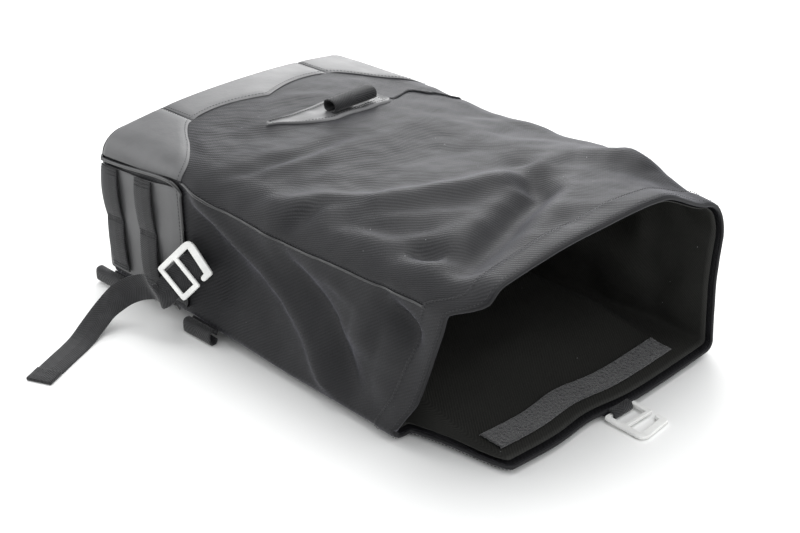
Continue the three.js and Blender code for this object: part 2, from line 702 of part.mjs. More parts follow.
// The tab sewn under the lip passes round the end bar of the mouth's hook.
const TAB = { length: 34, turn: 3.6 };
const tabLow = 0.3 + WEBBING / 2;
const tabHigh = MOUTH_HOOK.z + Math.hypot(G_HOOK.bar, G_HOOK.thickness) / 2 + GAP + WEBBING / 2;
const barMiddle = MOUTH_HOOK.x + G_HOOK.bar / 2;
const tabAt = (x, z) => [V(x, MOUTH_HOOK.y, z), V(0, 1, 0)];
const TAB_ROUTE = [
  tabAt(barMiddle - TAB.length, tabLow),
  tabAt(barMiddle - 4, tabLow),
  tabAt(barMiddle + 2, tabLow + 0.1),
  tabAt(barMiddle + TAB.turn, MOUTH_HOOK.z),
  tabAt(barMiddle + 1.6, tabHigh),
  tabAt(barMiddle - 3.2, tabHigh),
];
add("mouth_hook_tab", strap(TAB_ROUTE, STRIP_WIDTH, WEBBING, 24), "webbing");

// Lashing loops of wide webbing along the back's edges.
const LOOP = { width: 15, height: 9.5 };
const EDGE_LOOPS = { rear: 4, front: 137 }; // distance from the base end
const LOOP_INSET = 2; // the loops hang from the rounded back corners
for (const [place, x] of Object.entries(EDGE_LOOPS)) {
  const z = Math.max(profile(EDGE_AND_PINCH, 1, x / BODY_LENGTH) - 3.5, LOOP.width / 2 + 0.4);
  for (const [side, out] of [["near", -1], ["far", 1]]) {
    const loop = tunnel(LOOP.width, LOOP.height, LOOP_WIDTH, WEBBING)
      .rotateX((-out * Math.PI) / 2)
      .translate(x, out * (BAG_WIDTH / 2 - LOOP_INSET), z);
    add(`edge_loop_${side}_${place}`, loop, "webbing");
  }
}

// ---------------------------------------------------------------- rack hardware under the back

const railTop = STAND_OFF - GAP;
const railLow = railTop - RAIL.thickness;
const screwHoles = (rail, spread) =>
  [-1, 1].map((s) => rod("z", V(rail.x, s * spread, railTop), SCREW.radius + 0.3, 20));
const railBlock = (rail) =>
  block(
    [rail.x - rail.width / 2, -rail.length / 2, railTop - rail.thickness],
    [rail.x + rail.width / 2, rail.length / 2, railTop],
  );

const UPPER_SCREWS = 38;
const LOWER_SCREWS = 62;
add("upper_rail", carve([railBlock(RAIL)], screwHoles(RAIL, UPPER_SCREWS)), "plastic");
add("lower_rail", carve([railBlock(LOWER_RAIL)], screwHoles(LOWER_RAIL, LOWER_SCREWS)), "plastic");

// A pan head under the rail with a short shank inside it.
const screwSets = { upper: [RAIL, UPPER_SCREWS], lower: [LOWER_RAIL, LOWER_SCREWS] };
for (const [name, [rail, spread]] of Object.entries(screwSets)) {
  for (const [side, s] of [["near", -1], ["far", 1]]) {
    const low = railTop - rail.thickness - GAP;
    const head = rod("z", V(rail.x, s * spread, low - SCREW.headHeight / 2), SCREW.head, SCREW.headHeight);
    const shank = rod("z", V(rail.x, s * spread, (low + railTop) / 2 - 0.1), SCREW.radius, railTop - low);
    add(`${name}_screw_${side}`, carve([head, shank]), "steel");
  }
}

// A hook that slides along the rail: its base, closed end and lower lip are one C in side view.
const hookTop = railLow - GAP;
const baseLow = hookTop - (hookTop - HOOK.throat - HOOK.wall);
function hookGeometry(y) {
  const [x0, x1] = [RAIL.x - HOOK.length / 2, RAIL.x + HOOK.length / 2];
  const [low, high] = [y - HOOK.width / 2, y + HOOK.width / 2];
  const body = [
    block([x0, low, baseLow], [x1, high, hookTop]),
    block([x1 - HOOK.back, low, 0], [x1, high, hookTop]),
    block([x0 + 8, low, 0], [x1, high, HOOK.wall]),
  ];
  const lugs = [-1, 1].map((s) => {
    const inner = y + s * (LATCH.width / 2 + 0.6);
    const outer = y + s * (HOOK.width / 2);
    return block(
      [x0 + 1, Math.min(inner, outer), baseLow - 4.4],
      [x0 + 7, Math.max(inner, outer), baseLow + 0.5],
    );
  });
  const hole = rod("y", pinAt(y), LATCH.pin + LATCH.clearance, HOOK.width + 2, 16);
  return carve([...body, ...lugs], [hole]);
}
const pinAt = (y) => V(RAIL.x - HOOK.length / 2 + 4, y, baseLow - 2.2);

for (const [side, s] of [["near", -1], ["far", 1]]) {
  const y = s * HOOK.spread;
  const pin = pinAt(y);
  add(`rack_hook_${side}`, hookGeometry(y), "plastic");
  add(`latch_pin_${side}`, rod("y", pin, LATCH.pin, HOOK.width - 1, 16), "steel");
  const arm = [
    block(
      [pin.x - LATCH.thickness / 2, y - LATCH.width / 2, HOOK.wall + 0.9],
      [pin.x + LATCH.thickness / 2, y + LATCH.width / 2, pin.z],
    ),
    rod("y", pin, 1.9, LATCH.width, 16),
  ];
  const hole = rod("y", pin, LATCH.pin + LATCH.clearance, LATCH.width + 2, 16);
  add(`hook_latch_${side}`, carve(arm, [hole]), "plastic");
}

// A webbing pull that runs behind both hooks.
const pullX = RAIL.x + HOOK.length / 2 + 9;
const pullSpan = HOOK.spread + 6;
const pull = [
  [V(pullX - 5, -pullSpan, 9), V(0, 0, 1)],
  [V(pullX - 1, -pullSpan * 0.7, 9), V(0, 0, 1)],
  [V(pullX + 8, 0, 9), V(0, 0, 1)],
  [V(pullX - 1, pullSpan * 0.7, 9), V(0, 0, 1)],
  [V(pullX - 5, pullSpan, 9), V(0, 0, 1)],
];
add("release_pull", strap(pull, 14, WEBBING, 18), "webbing");

// The lower anchor: a slider on the rail and a hook that swivels on it.
const anchorTop = railTop - LOWER_RAIL.thickness - GAP;
const SLIDER = { length: 30, width: 26, thickness: 3.4 };
add(
  "anchor_slider",
  block(
    [LOWER_RAIL.x - SLIDER.length / 2, -SLIDER.width / 2, anchorTop - SLIDER.thickness],
    [LOWER_RAIL.x + SLIDER.length / 2, SLIDER.width / 2, anchorTop],
  ),
  "plastic",
);
const anchorHigh = anchorTop - SLIDER.thickness - GAP;
const ANCHOR = { length: 34, width: 20, wall: 3, back: 6 };
const anchorX = LOWER_RAIL.x - 9;
add(
  "anchor_hook",
  carve([
    block(
      [anchorX, -ANCHOR.width / 2, anchorHigh - 2.4],
      [anchorX + ANCHOR.length, ANCHOR.width / 2, anchorHigh],
    ),
    block([anchorX, -ANCHOR.width / 2, 0], [anchorX + ANCHOR.back, ANCHOR.width / 2, anchorHigh]),
    block(
      [anchorX, -ANCHOR.width / 2, 0],
      [anchorX + ANCHOR.length - 6, ANCHOR.width / 2, ANCHOR.wall],
    ),
  ]),
  "plastic",
);

// ---------------------------------------------------------------- stand on the ground, centred

const pannier = new THREE.Group();
pannier.add(bag, onTheStrap);
const box = new THREE.Box3().setFromObject(bag);
const centre = box.getCenter(V());
pannier.position.set(-centre.x, -centre.y, 0);

export default pannier;
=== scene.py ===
"""A roll-top pannier bag that lies on its back with its mouth open.

Lengths in the tables below are millimetres from the middle of the base end's foot: X along the
bag to its mouth, Y across it to the far side, Z up. to_row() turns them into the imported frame.
"""

import math

import bmesh
import bpy
from bpy.props import FloatProperty, FloatVectorProperty, PointerProperty
from bpy.types import Operator, Panel, PropertyGroup
from mathutils import Matrix, Vector, noise


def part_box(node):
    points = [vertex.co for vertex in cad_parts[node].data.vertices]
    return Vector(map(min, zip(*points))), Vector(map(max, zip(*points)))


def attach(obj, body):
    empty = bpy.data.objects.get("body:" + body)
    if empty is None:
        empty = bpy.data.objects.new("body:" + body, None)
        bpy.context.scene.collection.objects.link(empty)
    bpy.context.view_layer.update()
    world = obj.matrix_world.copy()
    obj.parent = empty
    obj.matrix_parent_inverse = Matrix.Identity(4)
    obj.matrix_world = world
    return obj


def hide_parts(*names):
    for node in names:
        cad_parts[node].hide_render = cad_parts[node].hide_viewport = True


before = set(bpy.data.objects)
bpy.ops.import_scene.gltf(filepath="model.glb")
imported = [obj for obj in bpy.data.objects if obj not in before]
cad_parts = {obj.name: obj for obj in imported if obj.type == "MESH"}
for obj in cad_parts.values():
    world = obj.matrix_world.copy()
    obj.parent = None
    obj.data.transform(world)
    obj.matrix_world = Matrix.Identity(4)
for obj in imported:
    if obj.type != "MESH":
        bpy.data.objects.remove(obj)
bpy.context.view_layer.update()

bl_info = {
    "name": "Roll-top pannier bag",
    "version": (1, 0, 0),
    "blender": (4, 5, 0),
    "location": "View3D > Sidebar > Pannier",
    "description": "Builds a roll-top bicycle pannier bag that lies on its back, mouth open",
    "category": "Add Mesh",
}

BODY = "bag"
MM = 0.001
UP = Vector((0, 0, 1))
RAIL_X = 286.0  # middle of the upper rail, from the base end
BASE_END = sum(corner[0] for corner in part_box("upper_rail")) / 2 - RAIL_X * MM


# ---------------------------------------------------------------- sizes and colours


def distance(name, description, value):
    return FloatProperty(name=name, description=description, default=value, unit="LENGTH")


def factor(name, description, **limits):
    return FloatProperty(name=name, description=description, default=1.0, min=0, **limits)


def colour(name, description, value):
    return FloatVectorProperty(
        name=name, description=description, default=value, subtype="COLOR", min=0, max=1
    )


class PannierShape(PropertyGroup):
    """Sizes of the shell"""

    width: distance("Width", "Width of the bag across its sides", 0.304)
    length: distance("Length", "Base end to lip along the back", 0.474)
    fold_depth: factor("Fold depth", "How strongly the canvas is creased", max=2)
    hem_depth: distance("Hem depth", "Width of the hem round the mouth", 0.023)
    strip_width: distance("Strip width", "Width of the webbing", 0.025)
    stitch: distance("Stitch", "Length of one stitch and its gap", 0.0034)


class PannierColours(PropertyGroup):
    """Colours of the cloths and fittings"""

    canvas: colour("Canvas", "Woven outer cloth", (0.0075, 0.0075, 0.0085))
    lining: colour("Lining", "Cloth inside the bag", (0.018, 0.018, 0.0165))
    coated: colour("Coated cloth", "Smooth panels of the boot", (0.085, 0.085, 0.087))
    webbing: colour("Webbing", "Straps, strips and loops", (0.016, 0.016, 0.017))
    piping: colour("Piping", "Piping and bindings", (0.008, 0.008, 0.009))
    thread: colour("Thread", "Sewing thread", (0.022, 0.022, 0.024))
    tape: colour("Tan tape", "Tape inside the mouth", (0.30, 0.24, 0.14))
    metal: colour("White metal", "Powder-coated hooks", (0.86, 0.86, 0.84))
    moulded: colour("Moulded parts", "Rails, hooks and latches", (0.016, 0.017, 0.018))


class PannierStage(PropertyGroup):
    """Floor and light"""

    light: factor("Light", "Strength of the lamps")
    floor: colour("Floor", "Colour of the table", (0.92, 0.92, 0.91))


def shape():
    return bpy.context.scene.pannier_shape


def colours():
    return bpy.context.scene.pannier_colours


# ---------------------------------------------------------------- the bag's surface

BASE_RADIUS = 9  # rounding of the base end's edge
BASE_CROWN = 8  # how far the middle of the base end swells
SHOULDER = 30  # how far the rounded shoulder reaches in from the side
STAND_OFF = 20  # height of the stiffened back over the floor
BACK_CORNER = 10
FRONT_CROWN = 8
BOARD_EDGE, BOARD_SLOPE = 112, 16  # half width of the flat back, and the slope beside it
BACK_RISE, BACK_DROP_START, BACK_DROP = 0.07, 0.76, 0.2  # shares of the length
THINNEST = 0.6  # the smallest corner that an inner surface keeps
BOOT_LENGTH = 119
MIDDLE_REACH = 60  # how far the boot comes up the middle of the front
PANEL_DIP = 14
BOOT_FADE = 26  # folds reach their full depth this far from the boot
BACK_FADE = 16  # and this far above the back
LIP_DROOP = 22
HEM_CALM = 38  # the sewn hem keeps folds small this far from the lip
LIP_BULGE = 6  # the lower lip reaches this far past the bag's length
HOOK_ACROSS, HOOK_ROOM, HOOK_SPREAD = 0.556, 6.2, 0.12  # it is drawn back under the hook's swing

# share of the length, height of the side seam, height of the shoulder
SEAM_AND_SHOULDER = [
    (0, 134, 158),
    (0.12, 138, 160),
    (0.25, 147, 161),
    (0.36, 140, 163),
    (0.55, 138, 165),
    (0.72, 141, 168),
    (0.88, 144, 174),
    (1, 138, 178),
]
# share of the length, height of the back edge, inward pinch of the sides
EDGE_AND_PINCH = [
    (0, 13, 0),
    (0.25, 13, 1),
    (0.33, 8, 13),
    (0.55, 5, 9),
    (0.8, 4.8, 5),
    (1, 4.8, 4),
]
# share of the near side's height, how far the rim is drawn back there
NEAR_RIM = [(0, 92), (0.1, 84), (0.25, 71), (0.66, 52), (0.86, 42), (1, 36)]

# where sections of the surface begin, going round: near side, near shoulder, front ...
NEAR_SIDE, NEAR_SEAM, FRONT, FAR_SHOULDER, FAR_SEAM, FAR_CORNER, BACK, NEAR_CORNER = range(8)

# A fold is a line of points, a width and a height; a hollow has a negative height.
FOLDS = [
    (
        [(118, -150, 148), (165, -150, 126), (220, -150, 99), (269, -149, 61), (312, -147, 8)],
        11,
        10,
    ),
    ([(150, -150, 100), (205, -150, 62), (250, -150, 22)], 20, -6),
    ([(250, -150, 118), (300, -149, 80), (330, -148, 30)], 14, -11),
    ([(268, -151, 124), (310, -151, 122), (340, -151, 112)], 8, 4),
    ([(330, -150, 92), (362, -150, 84)], 22, 12),
    ([(372, -150, 128), (398, -150, 112), (402, -150, 96)], 12, -14),
    ([(352, -150, 44), (386, -150, 50)], 18, 4),
    ([(300, -150, 140), (350, -150, 139), (410, -150, 143)], 8, -2.5),
    ([(150, -144, 166), (172, -112, 172), (186, -62, 174), (181, -20, 175)], 8, -5),
    ([(166, -146, 168), (184, -116, 173), (200, -70, 175), (198, -24, 176)], 9, 2.4),
    ([(262, -146, 158), (266, -120, 170), (290, -100, 172)], 8, -6),
    ([(232, -140, 163), (300, -90, 174), (340, -30, 178), (352, 30, 182), (346, 100, 182)], 15, 9),
    ([(338, 42, 182), (388, 10, 182), (412, -58, 180), (430, -122, 174)], 16, -15),
    ([(372, -128, 166), (404, -116, 172)], 13, -12),
    ([(300, -128, 168), (350, -112, 174), (372, -90, 176)], 10, -3.5),
    ([(312, -120, 172), (340, -90, 178), (372, -58, 180)], 8, 3),
    ([(352, 100, 182), (388, 124, 180), (420, 122, 180)], 18, 10),
    ([(404, 30, 184), (424, -20, 186), (444, -70, 184)], 14, 4),
    ([(120, 96, 172), (200, 122, 168), (300, 110, 172)], 30, -3),
    ([(210, 60, 176), (260, 20, 176), (300, -20, 174)], 34, -4),
    ([(130, 150, 110), (220, 149, 70), (330, 148, 30)], 18, 6),
    ([(210, 150, 126), (300, 149, 84), (380, 148, 60)], 18, -6),
    ([(320, 150, 100), (390, 149, 112)], 22, 7),
]


def clamp(value, low=0.0, high=1.0):
    return max(low, min(high, value))


def lerp(a, b, t):
    return a + (b - a) * t


def smooth(t):
    t = clamp(t)
    return t * t * (3 - 2 * t)


def steps(count, low=0.0, high=1.0):
    return [lerp(low, high, i / count) for i in range(count + 1)]


def joined(*runs):
    """Runs of steps end to end, each without its last value, which starts the next one."""
    return [value for run in runs for value in run[:-1]] + [runs[-1][-1]]


def profile(table, column, share, ease=smooth):
    share = clamp(share)
    k = 0
    while k < len(table) - 2 and share > table[k + 1][0]:
        k += 1
    a, b = table[k], table[k + 1]
    return lerp(a[column], b[column], ease((share - a[0]) / (b[0] - a[0])))


def to_row(point):
    return Vector((point[0] * MM + BASE_END, point[1] * MM, point[2] * MM))


def half_width():
    return shape().width / MM / 2


def body_length():
    return shape().length / MM


def section_point(share, around, inset=0.0, floor=None):
    """Point of the cross section, `inset` inside the outer surface."""
    floor = inset if floor is None else floor
    seam = profile(SEAM_AND_SHOULDER, 1, share)
    shoulder = profile(SEAM_AND_SHOULDER, 2, share)
    edge = profile(EDGE_AND_PINCH, 1, share)
    pinch = profile(EDGE_AND_PINCH, 2, share)
    side = half_width() - inset
    corner = max(BACK_CORNER - inset, THINNEST)
    across, rise = max(SHOULDER - inset, THINNEST), max(shoulder - seam - inset, THINNEST)
    low = edge + floor
    part = min(int(around), 7)
    t = around - part
    turn = t * math.pi / 2

    def side_at(height):
        return side - pinch * math.sin(math.pi * clamp((height - edge) / (seam - edge)))

    if part in (NEAR_SIDE, FAR_SEAM):
        height = lerp(low + corner, seam, t if part == NEAR_SIDE else 1 - t)
        return (-side_at(height) if part == NEAR_SIDE else side_at(height)), height
    if part == NEAR_SEAM:
        return -side + across * (1 - math.cos(turn)), seam + rise * math.sin(turn)
    if part == FAR_SHOULDER:
        return side - across * (1 - math.sin(turn)), seam + rise * math.cos(turn)
    if part == FRONT:
        crown = FRONT_CROWN * (1 - (2 * t - 1) ** 2)
        return lerp(-side + across, side - across, t), seam + rise + crown
    start = side_at(low + corner)
    if part == FAR_CORNER:
        return start - corner * (1 - math.cos(turn)), low + corner * (1 - math.sin(turn))
    if part == NEAR_CORNER:
        return -start + corner * (1 - math.sin(turn)), low + corner * (1 - math.cos(turn))
    y = lerp(start - corner, corner - start, t)
    over = smooth(share / BACK_RISE) * (1 - smooth((share - BACK_DROP_START) / BACK_DROP))
    lift = max(STAND_OFF - edge, 0) * over * (1 - smooth((abs(y) - BOARD_EDGE) / BOARD_SLOPE))
    return y, low + lift


def rim_back(around):
    """How far the rim is drawn back at a place round the mouth."""
    foot = NEAR_RIM[0][1]
    if around <= 1:
        return profile(NEAR_RIM, 1, around, ease=clamp)
    if around < 2:
        return NEAR_RIM[-1][1] * (1 - smooth((around - 1) / 0.55))
    if around < BACK + 0.9:
        across = clamp(around - BACK)
        at_hook = HOOK_ROOM * math.exp(-(((across - HOOK_ACROSS) / HOOK_SPREAD) ** 2))
        return (at_hook - LIP_BULGE) * math.sin(math.pi * across)
    return foot * smooth((around - BACK - 0.9) / 0.07)


def girth(around):
    """Distance round the section to a place, for the cloth's weave."""
    sizes = [120, 44, 2 * (half_width() - SHOULDER), 44, 120, 16, 2 * half_width() - 20, 16]
    part = min(int(around), 7)
    return sum(sizes[:part]) + sizes[part] * (around - part)


def nearest_on(point, line):
    """Distance from a line of points, and the share of the way along it."""
    best = math.inf
    share = 0
    for k, (a, b) in enumerate(zip(line, line[1:])):
        span = b - a
        t = clamp((point - a).dot(span) / span.length_squared)
        distance = (point - a - span * t).length
        if distance < best:
            best, share = distance, (k + t) / (len(line) - 1)
    return best, share


FOLD_LINES = [([Vector(p) for p in line], width, height) for line, width, height in FOLDS]


def fold(point):
    """How far the canvas stands out of its even surface at a place."""
    total = 0.0
    for line, width, height in FOLD_LINES:
        distance, share = nearest_on(point, line)
        if distance < 3 * width:
            ends = 0.35 + 0.65 * math.sin(math.pi * clamp(share, 0.02, 0.98)) ** 0.6
            total += height * ends * math.exp(-((distance / width) ** 2))
    wave = noise.noise(point / 46) * 2.6 + noise.noise(point / 17 + Vector((7, 3, 1))) * 0.9
    total += wave + noise.noise(point / 7) * 0.22
    return total * shape().fold_depth


def softness(x, point):
    """Where the cloth is free to fold: 0 on the boot and the back."""
    from_boot = smooth((x - boot_reach(point)) / BOOT_FADE)
    from_back = smooth((point.z - 10) / BACK_FADE)
    return from_boot * from_back


def boot_reach(point):
    """Distance from the base end to the boot's edge, across the front and down the sides."""
    y = clamp(abs(point.y) / half_width())
    dip = PANEL_DIP * math.sin(math.pi * min(y / 0.75, 1))
    return MIDDLE_REACH - dip + (BOOT_LENGTH - MIDDLE_REACH) * smooth((y - 0.55) / 0.45)


def lip_droop(share, point):
    """How far the front hangs lower towards the far end of the lip."""
    near_lip = smooth((share - 0.8) / 0.2)
    return LIP_DROOP * near_lip * smooth((point.y - 60) / 70) * clamp((point.z - 60) / 80)


def bag_point(along, around, inset=0.0, floor=None, end=None, crown=BASE_CROWN, creased=True):
    """along: -1 is the middle of the base end, 0 its edge, 1 the end of the rounding, 2 the rim."""
    floor = inset if floor is None else floor
    end = inset if end is None else end
    length = body_length()
    if along >= 1:
        x = BASE_RADIUS + (along - 1) * (length - rim_back(around) - BASE_RADIUS)
        base = Vector((x, *section_point(x / length, around)))
        free = softness(x, base) if creased else 0
        free *= lerp(0.3, 1, smooth((length - rim_back(around) - x) / HEM_CALM))
        lift = fold(base) * free if free > 0.01 else 0
        point = Vector((x, *section_point(x / length, around, inset - lift, floor - lift)))
        point.z -= lip_droop(x / length, point)
        return point
    turn = max(along, 0) * math.pi / 2
    x = BASE_RADIUS - (BASE_RADIUS - end) * math.cos(turn)

    def at(value):
        return BASE_RADIUS - (BASE_RADIUS - value) * math.sin(turn)

    y, z = section_point(x / length, around, at(inset), at(floor))
    if along >= 0:
        return Vector((x, y, z))
    size = 1 + along
    middle = (profile(SEAM_AND_SHOULDER, 1, 0) + STAND_OFF) / 2
    return Vector((x - crown * (1 - size * size), y * size, middle + (z - middle) * size))


def along_at(x, around):
    if x < BASE_RADIUS:
        return math.acos(1 - x / BASE_RADIUS) / (math.pi / 2)
    return 1 + (x - BASE_RADIUS) / (body_length() - rim_back(around) - BASE_RADIUS)


def outward(along, around):
    """Unit vector out of the bag at a place."""
    return (bag_point(along, around, -2) - bag_point(along, around, 2)).normalized()


AROUND = joined(
    steps(30, 0, 1),
    steps(12, 1, 2),
    steps(70, 2, 3),
    steps(12, 3, 4),
    steps(30, 4, 5),
    steps(4, 5, 6),
    steps(36, 6, 6.88),
    steps(14, 6.88, 7),
    steps(4, 7, 8),
)


# ---------------------------------------------------------------- making meshes


def object_from(bm, name, material=None, smooth_faces=True):
    mesh = bpy.data.meshes.new(name)
    for face in bm.faces:
        face.smooth = smooth_faces
    bm.to_mesh(mesh)
    bm.free()
    piece = bpy.data.objects.new(name, mesh)
    bpy.context.scene.collection.objects.link(piece)
    if material:
        mesh.materials.append(material)
    return piece


def cloth_grid(us, vs, place, weave=None):
    """A grid of len(us) by len(vs) corners moved to place(u, v), with the weave laid along it."""
    bm = bmesh.new()
    layer = bm.loops.layers.uv.new("weave")
    columns, rows = len(us) - 1, len(vs) - 1
    bmesh.ops.create_grid(bm, x_segments=columns, y_segments=rows, size=0.5)
    where = {}
    for corner in bm.verts:
        i = round((corner.co.x + 0.5) * columns)
        j = round((corner.co.y + 0.5) * rows)
        where[corner] = (us[i], vs[j])
    for face in bm.faces:
        for loop in face.loops:
            u, v = where[loop.vert]
            loop[layer].uv = weave(u, v) if weave else (u * MM, v * MM)
    for corner, (u, v) in where.items():
        corner.co = to_row(place(u, v))
    bmesh.ops.remove_doubles(bm, verts=bm.verts, dist=1e-6)
    return bm


def face_away(bm, middle, away=True):
    """Turns all faces of an open sheet so that most of them look away from a point."""
    middle = to_row(middle)
    bm.normal_update()
    score = 0.0
    for face in bm.faces:
        out = (face.calc_center_median() - middle).normalized()
        score += face.normal.dot(out) * face.calc_area()
    if (score > 0) != away:
        bmesh.ops.reverse_faces(bm, faces=bm.faces)


INSIDE = (230, 0, 85)  # a place inside the bag


def round_edges(piece, width, angle):
    bevel = piece.modifiers.new("Edge", "BEVEL")
    bevel.width = width * MM
    bevel.segments = 2
    bevel.limit_method = "ANGLE"
    bevel.angle_limit = math.radians(angle)


def sheet(name, us, vs, place, weave, look, thickness, edge=0.0, facing="out", body=BODY):
    """A piece of cloth laid over a grid, thickened and set on its body.

    Its grid is the side that looks "out" of the bag or "in", the outside of a "tube", or the
    "middle" of its thickness.
    """
    bm = cloth_grid(us, vs, place, weave)
    if facing in ("out", "in"):
        face_away(bm, INSIDE, facing == "out")
    else:
        bmesh.ops.recalc_face_normals(bm, faces=bm.faces)
    piece = object_from(bm, name, finish(look))
    wall = piece.modifiers.new("Wall", "SOLIDIFY")
    wall.thickness = thickness * MM
    wall.offset = 0.0 if facing == "middle" else -1.0
    wall.use_even_offset = False
    if edge:
        round_edges(piece, edge, 50)
    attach(piece, body)
    return piece


def round_weave(depth):
    """Weave of a piece laid round the bag, its second step spread over a depth in metres."""
    return lambda u, k: (girth(u) * MM, k * depth)


def bag_sheet(name, us, vs, inset, thickness, look, facing="out", **how):
    """A piece of cloth that follows the bag: us go round it and vs along it."""

    def place(u, v):
        return bag_point(v, u, inset(u, v) if callable(inset) else inset, **how)

    return sheet(name, us, vs, place, round_weave(0.45), look, thickness, facing=facing)


def ribbon(name, places, width, thickness, body=BODY, edge=0.35):
    """A flat strap along places, each a middle and the direction of its width."""
    middles = [Vector(p) for p, _ in places]
    sides = [Vector(s).normalized() for _, s in places]
    run = [0.0]
    for a, b in zip(middles, middles[1:]):
        run.append(run[-1] + (b - a).length)

    def place(u, v):
        k = int(v)
        ahead = middles[min(k + 1, len(middles) - 1)] - middles[max(k - 1, 0)]
        side = (sides[k] - ahead.normalized() * sides[k].dot(ahead.normalized())).normalized()
        return middles[k] + side * (u * width / 2)

    def weave(u, v):
        return u * width / 2 * MM, run[int(v)] * MM

    rows = range(len(middles))
    how = {"edge": edge, "facing": "middle", "body": body}
    return sheet(name, steps(6, -1, 1), rows, place, weave, "webbing", thickness, **how)


def curve_points(points, count):
    """Evenly numbered points on a Catmull-Rom curve through some points."""
    points = [Vector(p) for p in points]
    line = [2 * points[0] - points[1], *points, 2 * points[-1] - points[-2]]
    spans = len(points) - 1
    made = []
    for step in steps(count, 0, spans):
        k = min(int(step), spans - 1)
        t = step - k
        a, b, c, d = line[k : k + 4]
        made.append(
            0.5
            * (
                2 * b
                + (c - a) * t
                + (2 * a - 5 * b + 4 * c - d) * t**2
                + (3 * b - a - 3 * c + d) * t**3
            )
        )
    return made


def tube(name, points, radius, look, sides=10):
    """A round cord or piping along points."""
    points = [Vector(p) for p in points]
    bm = bmesh.new()
    bmesh.ops.create_circle(bm, cap_ends=False, segments=sides, radius=1)
    ring = [v.co.copy() for v in bm.verts]
    bm.clear()
    rings = []
    side = None
    for k, point in enumerate(points):
        ahead = (points[min(k + 1, len(points) - 1)] - points[max(k - 1, 0)]).normalized()
        if side is None:
            side = ahead.orthogonal().normalized()
        side = (side - ahead * side.dot(ahead)).normalized()
        up = ahead.cross(side)
        rings.append([bm.verts.new(to_row(point + (side * c.x + up * c.y) * radius)) for c in ring])
    for a, b in zip(rings, rings[1:]):
        edges = []
        for row in (a, b):
            for i in range(sides):
                pair = (row[i - 1], row[i])
                edges.append(bm.edges.get(pair) or bm.edges.new(pair))
        bmesh.ops.bridge_loops(bm, edges=edges)
    for row in (rings[0], rings[-1]):
        bm.faces.new(row)
    bmesh.ops.recalc_face_normals(bm, faces=bm.faces)
    piece = object_from(bm, name, finish(look))
    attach(piece, BODY)
    return piece


def stitches(name, lines, slot, pitch=None, radius=0.32):
    """Rows of stitches: each line is a list of (place, outward) pairs."""
    pitch = pitch or shape().stitch / MM
    bm = bmesh.new()
    bmesh.ops.create_icosphere(bm, subdivisions=1, radius=1)
    pattern = bm.copy()
    bm.clear()
    pattern_mesh = bpy.data.meshes.new("stitch pattern")
    pattern.to_mesh(pattern_mesh)
    pattern.free()
    for line in lines:
        run = 0.0
        for (a, out_a), (b, out_b) in zip(line, line[1:]):
            span = (b - a).length
            while run < span:
                t = run / span if span else 0
                middle = a.lerp(b, t)
                out = out_a.lerp(out_b, t).normalized()
                ahead = (b - a).normalized()
                side = ahead.cross(out).normalized()
                out = side.cross(ahead)
                turn = Matrix((ahead, side, out)).transposed().to_4x4()
                size = Matrix.Diagonal((pitch * 0.36 * MM, radius * MM, radius * MM, 1))
                matrix = Matrix.Translation(to_row(middle)) @ turn @ size
                before = len(bm.verts)
                bm.from_mesh(pattern_mesh)
                bm.verts.ensure_lookup_table()
                bmesh.ops.transform(bm, matrix=matrix, verts=bm.verts[before:])
                run += pitch
            run -= span
    bpy.data.meshes.remove(pattern_mesh)
    piece = object_from(bm, name, finish("thread"))
    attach(piece, BODY)
    return stand_for(piece, slot)


def on_bag(arounds, alongs, inset, **how):
    """A line on the bag as (place, outward) pairs."""
    return [(bag_point(v, u, inset, **how), outward(v, u)) for u, v in zip(arounds, alongs)]


def stand_for(piece, slot, *nodes):
    if nodes:
        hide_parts(*nodes)
    return piece


# ---------------------------------------------------------------- materials


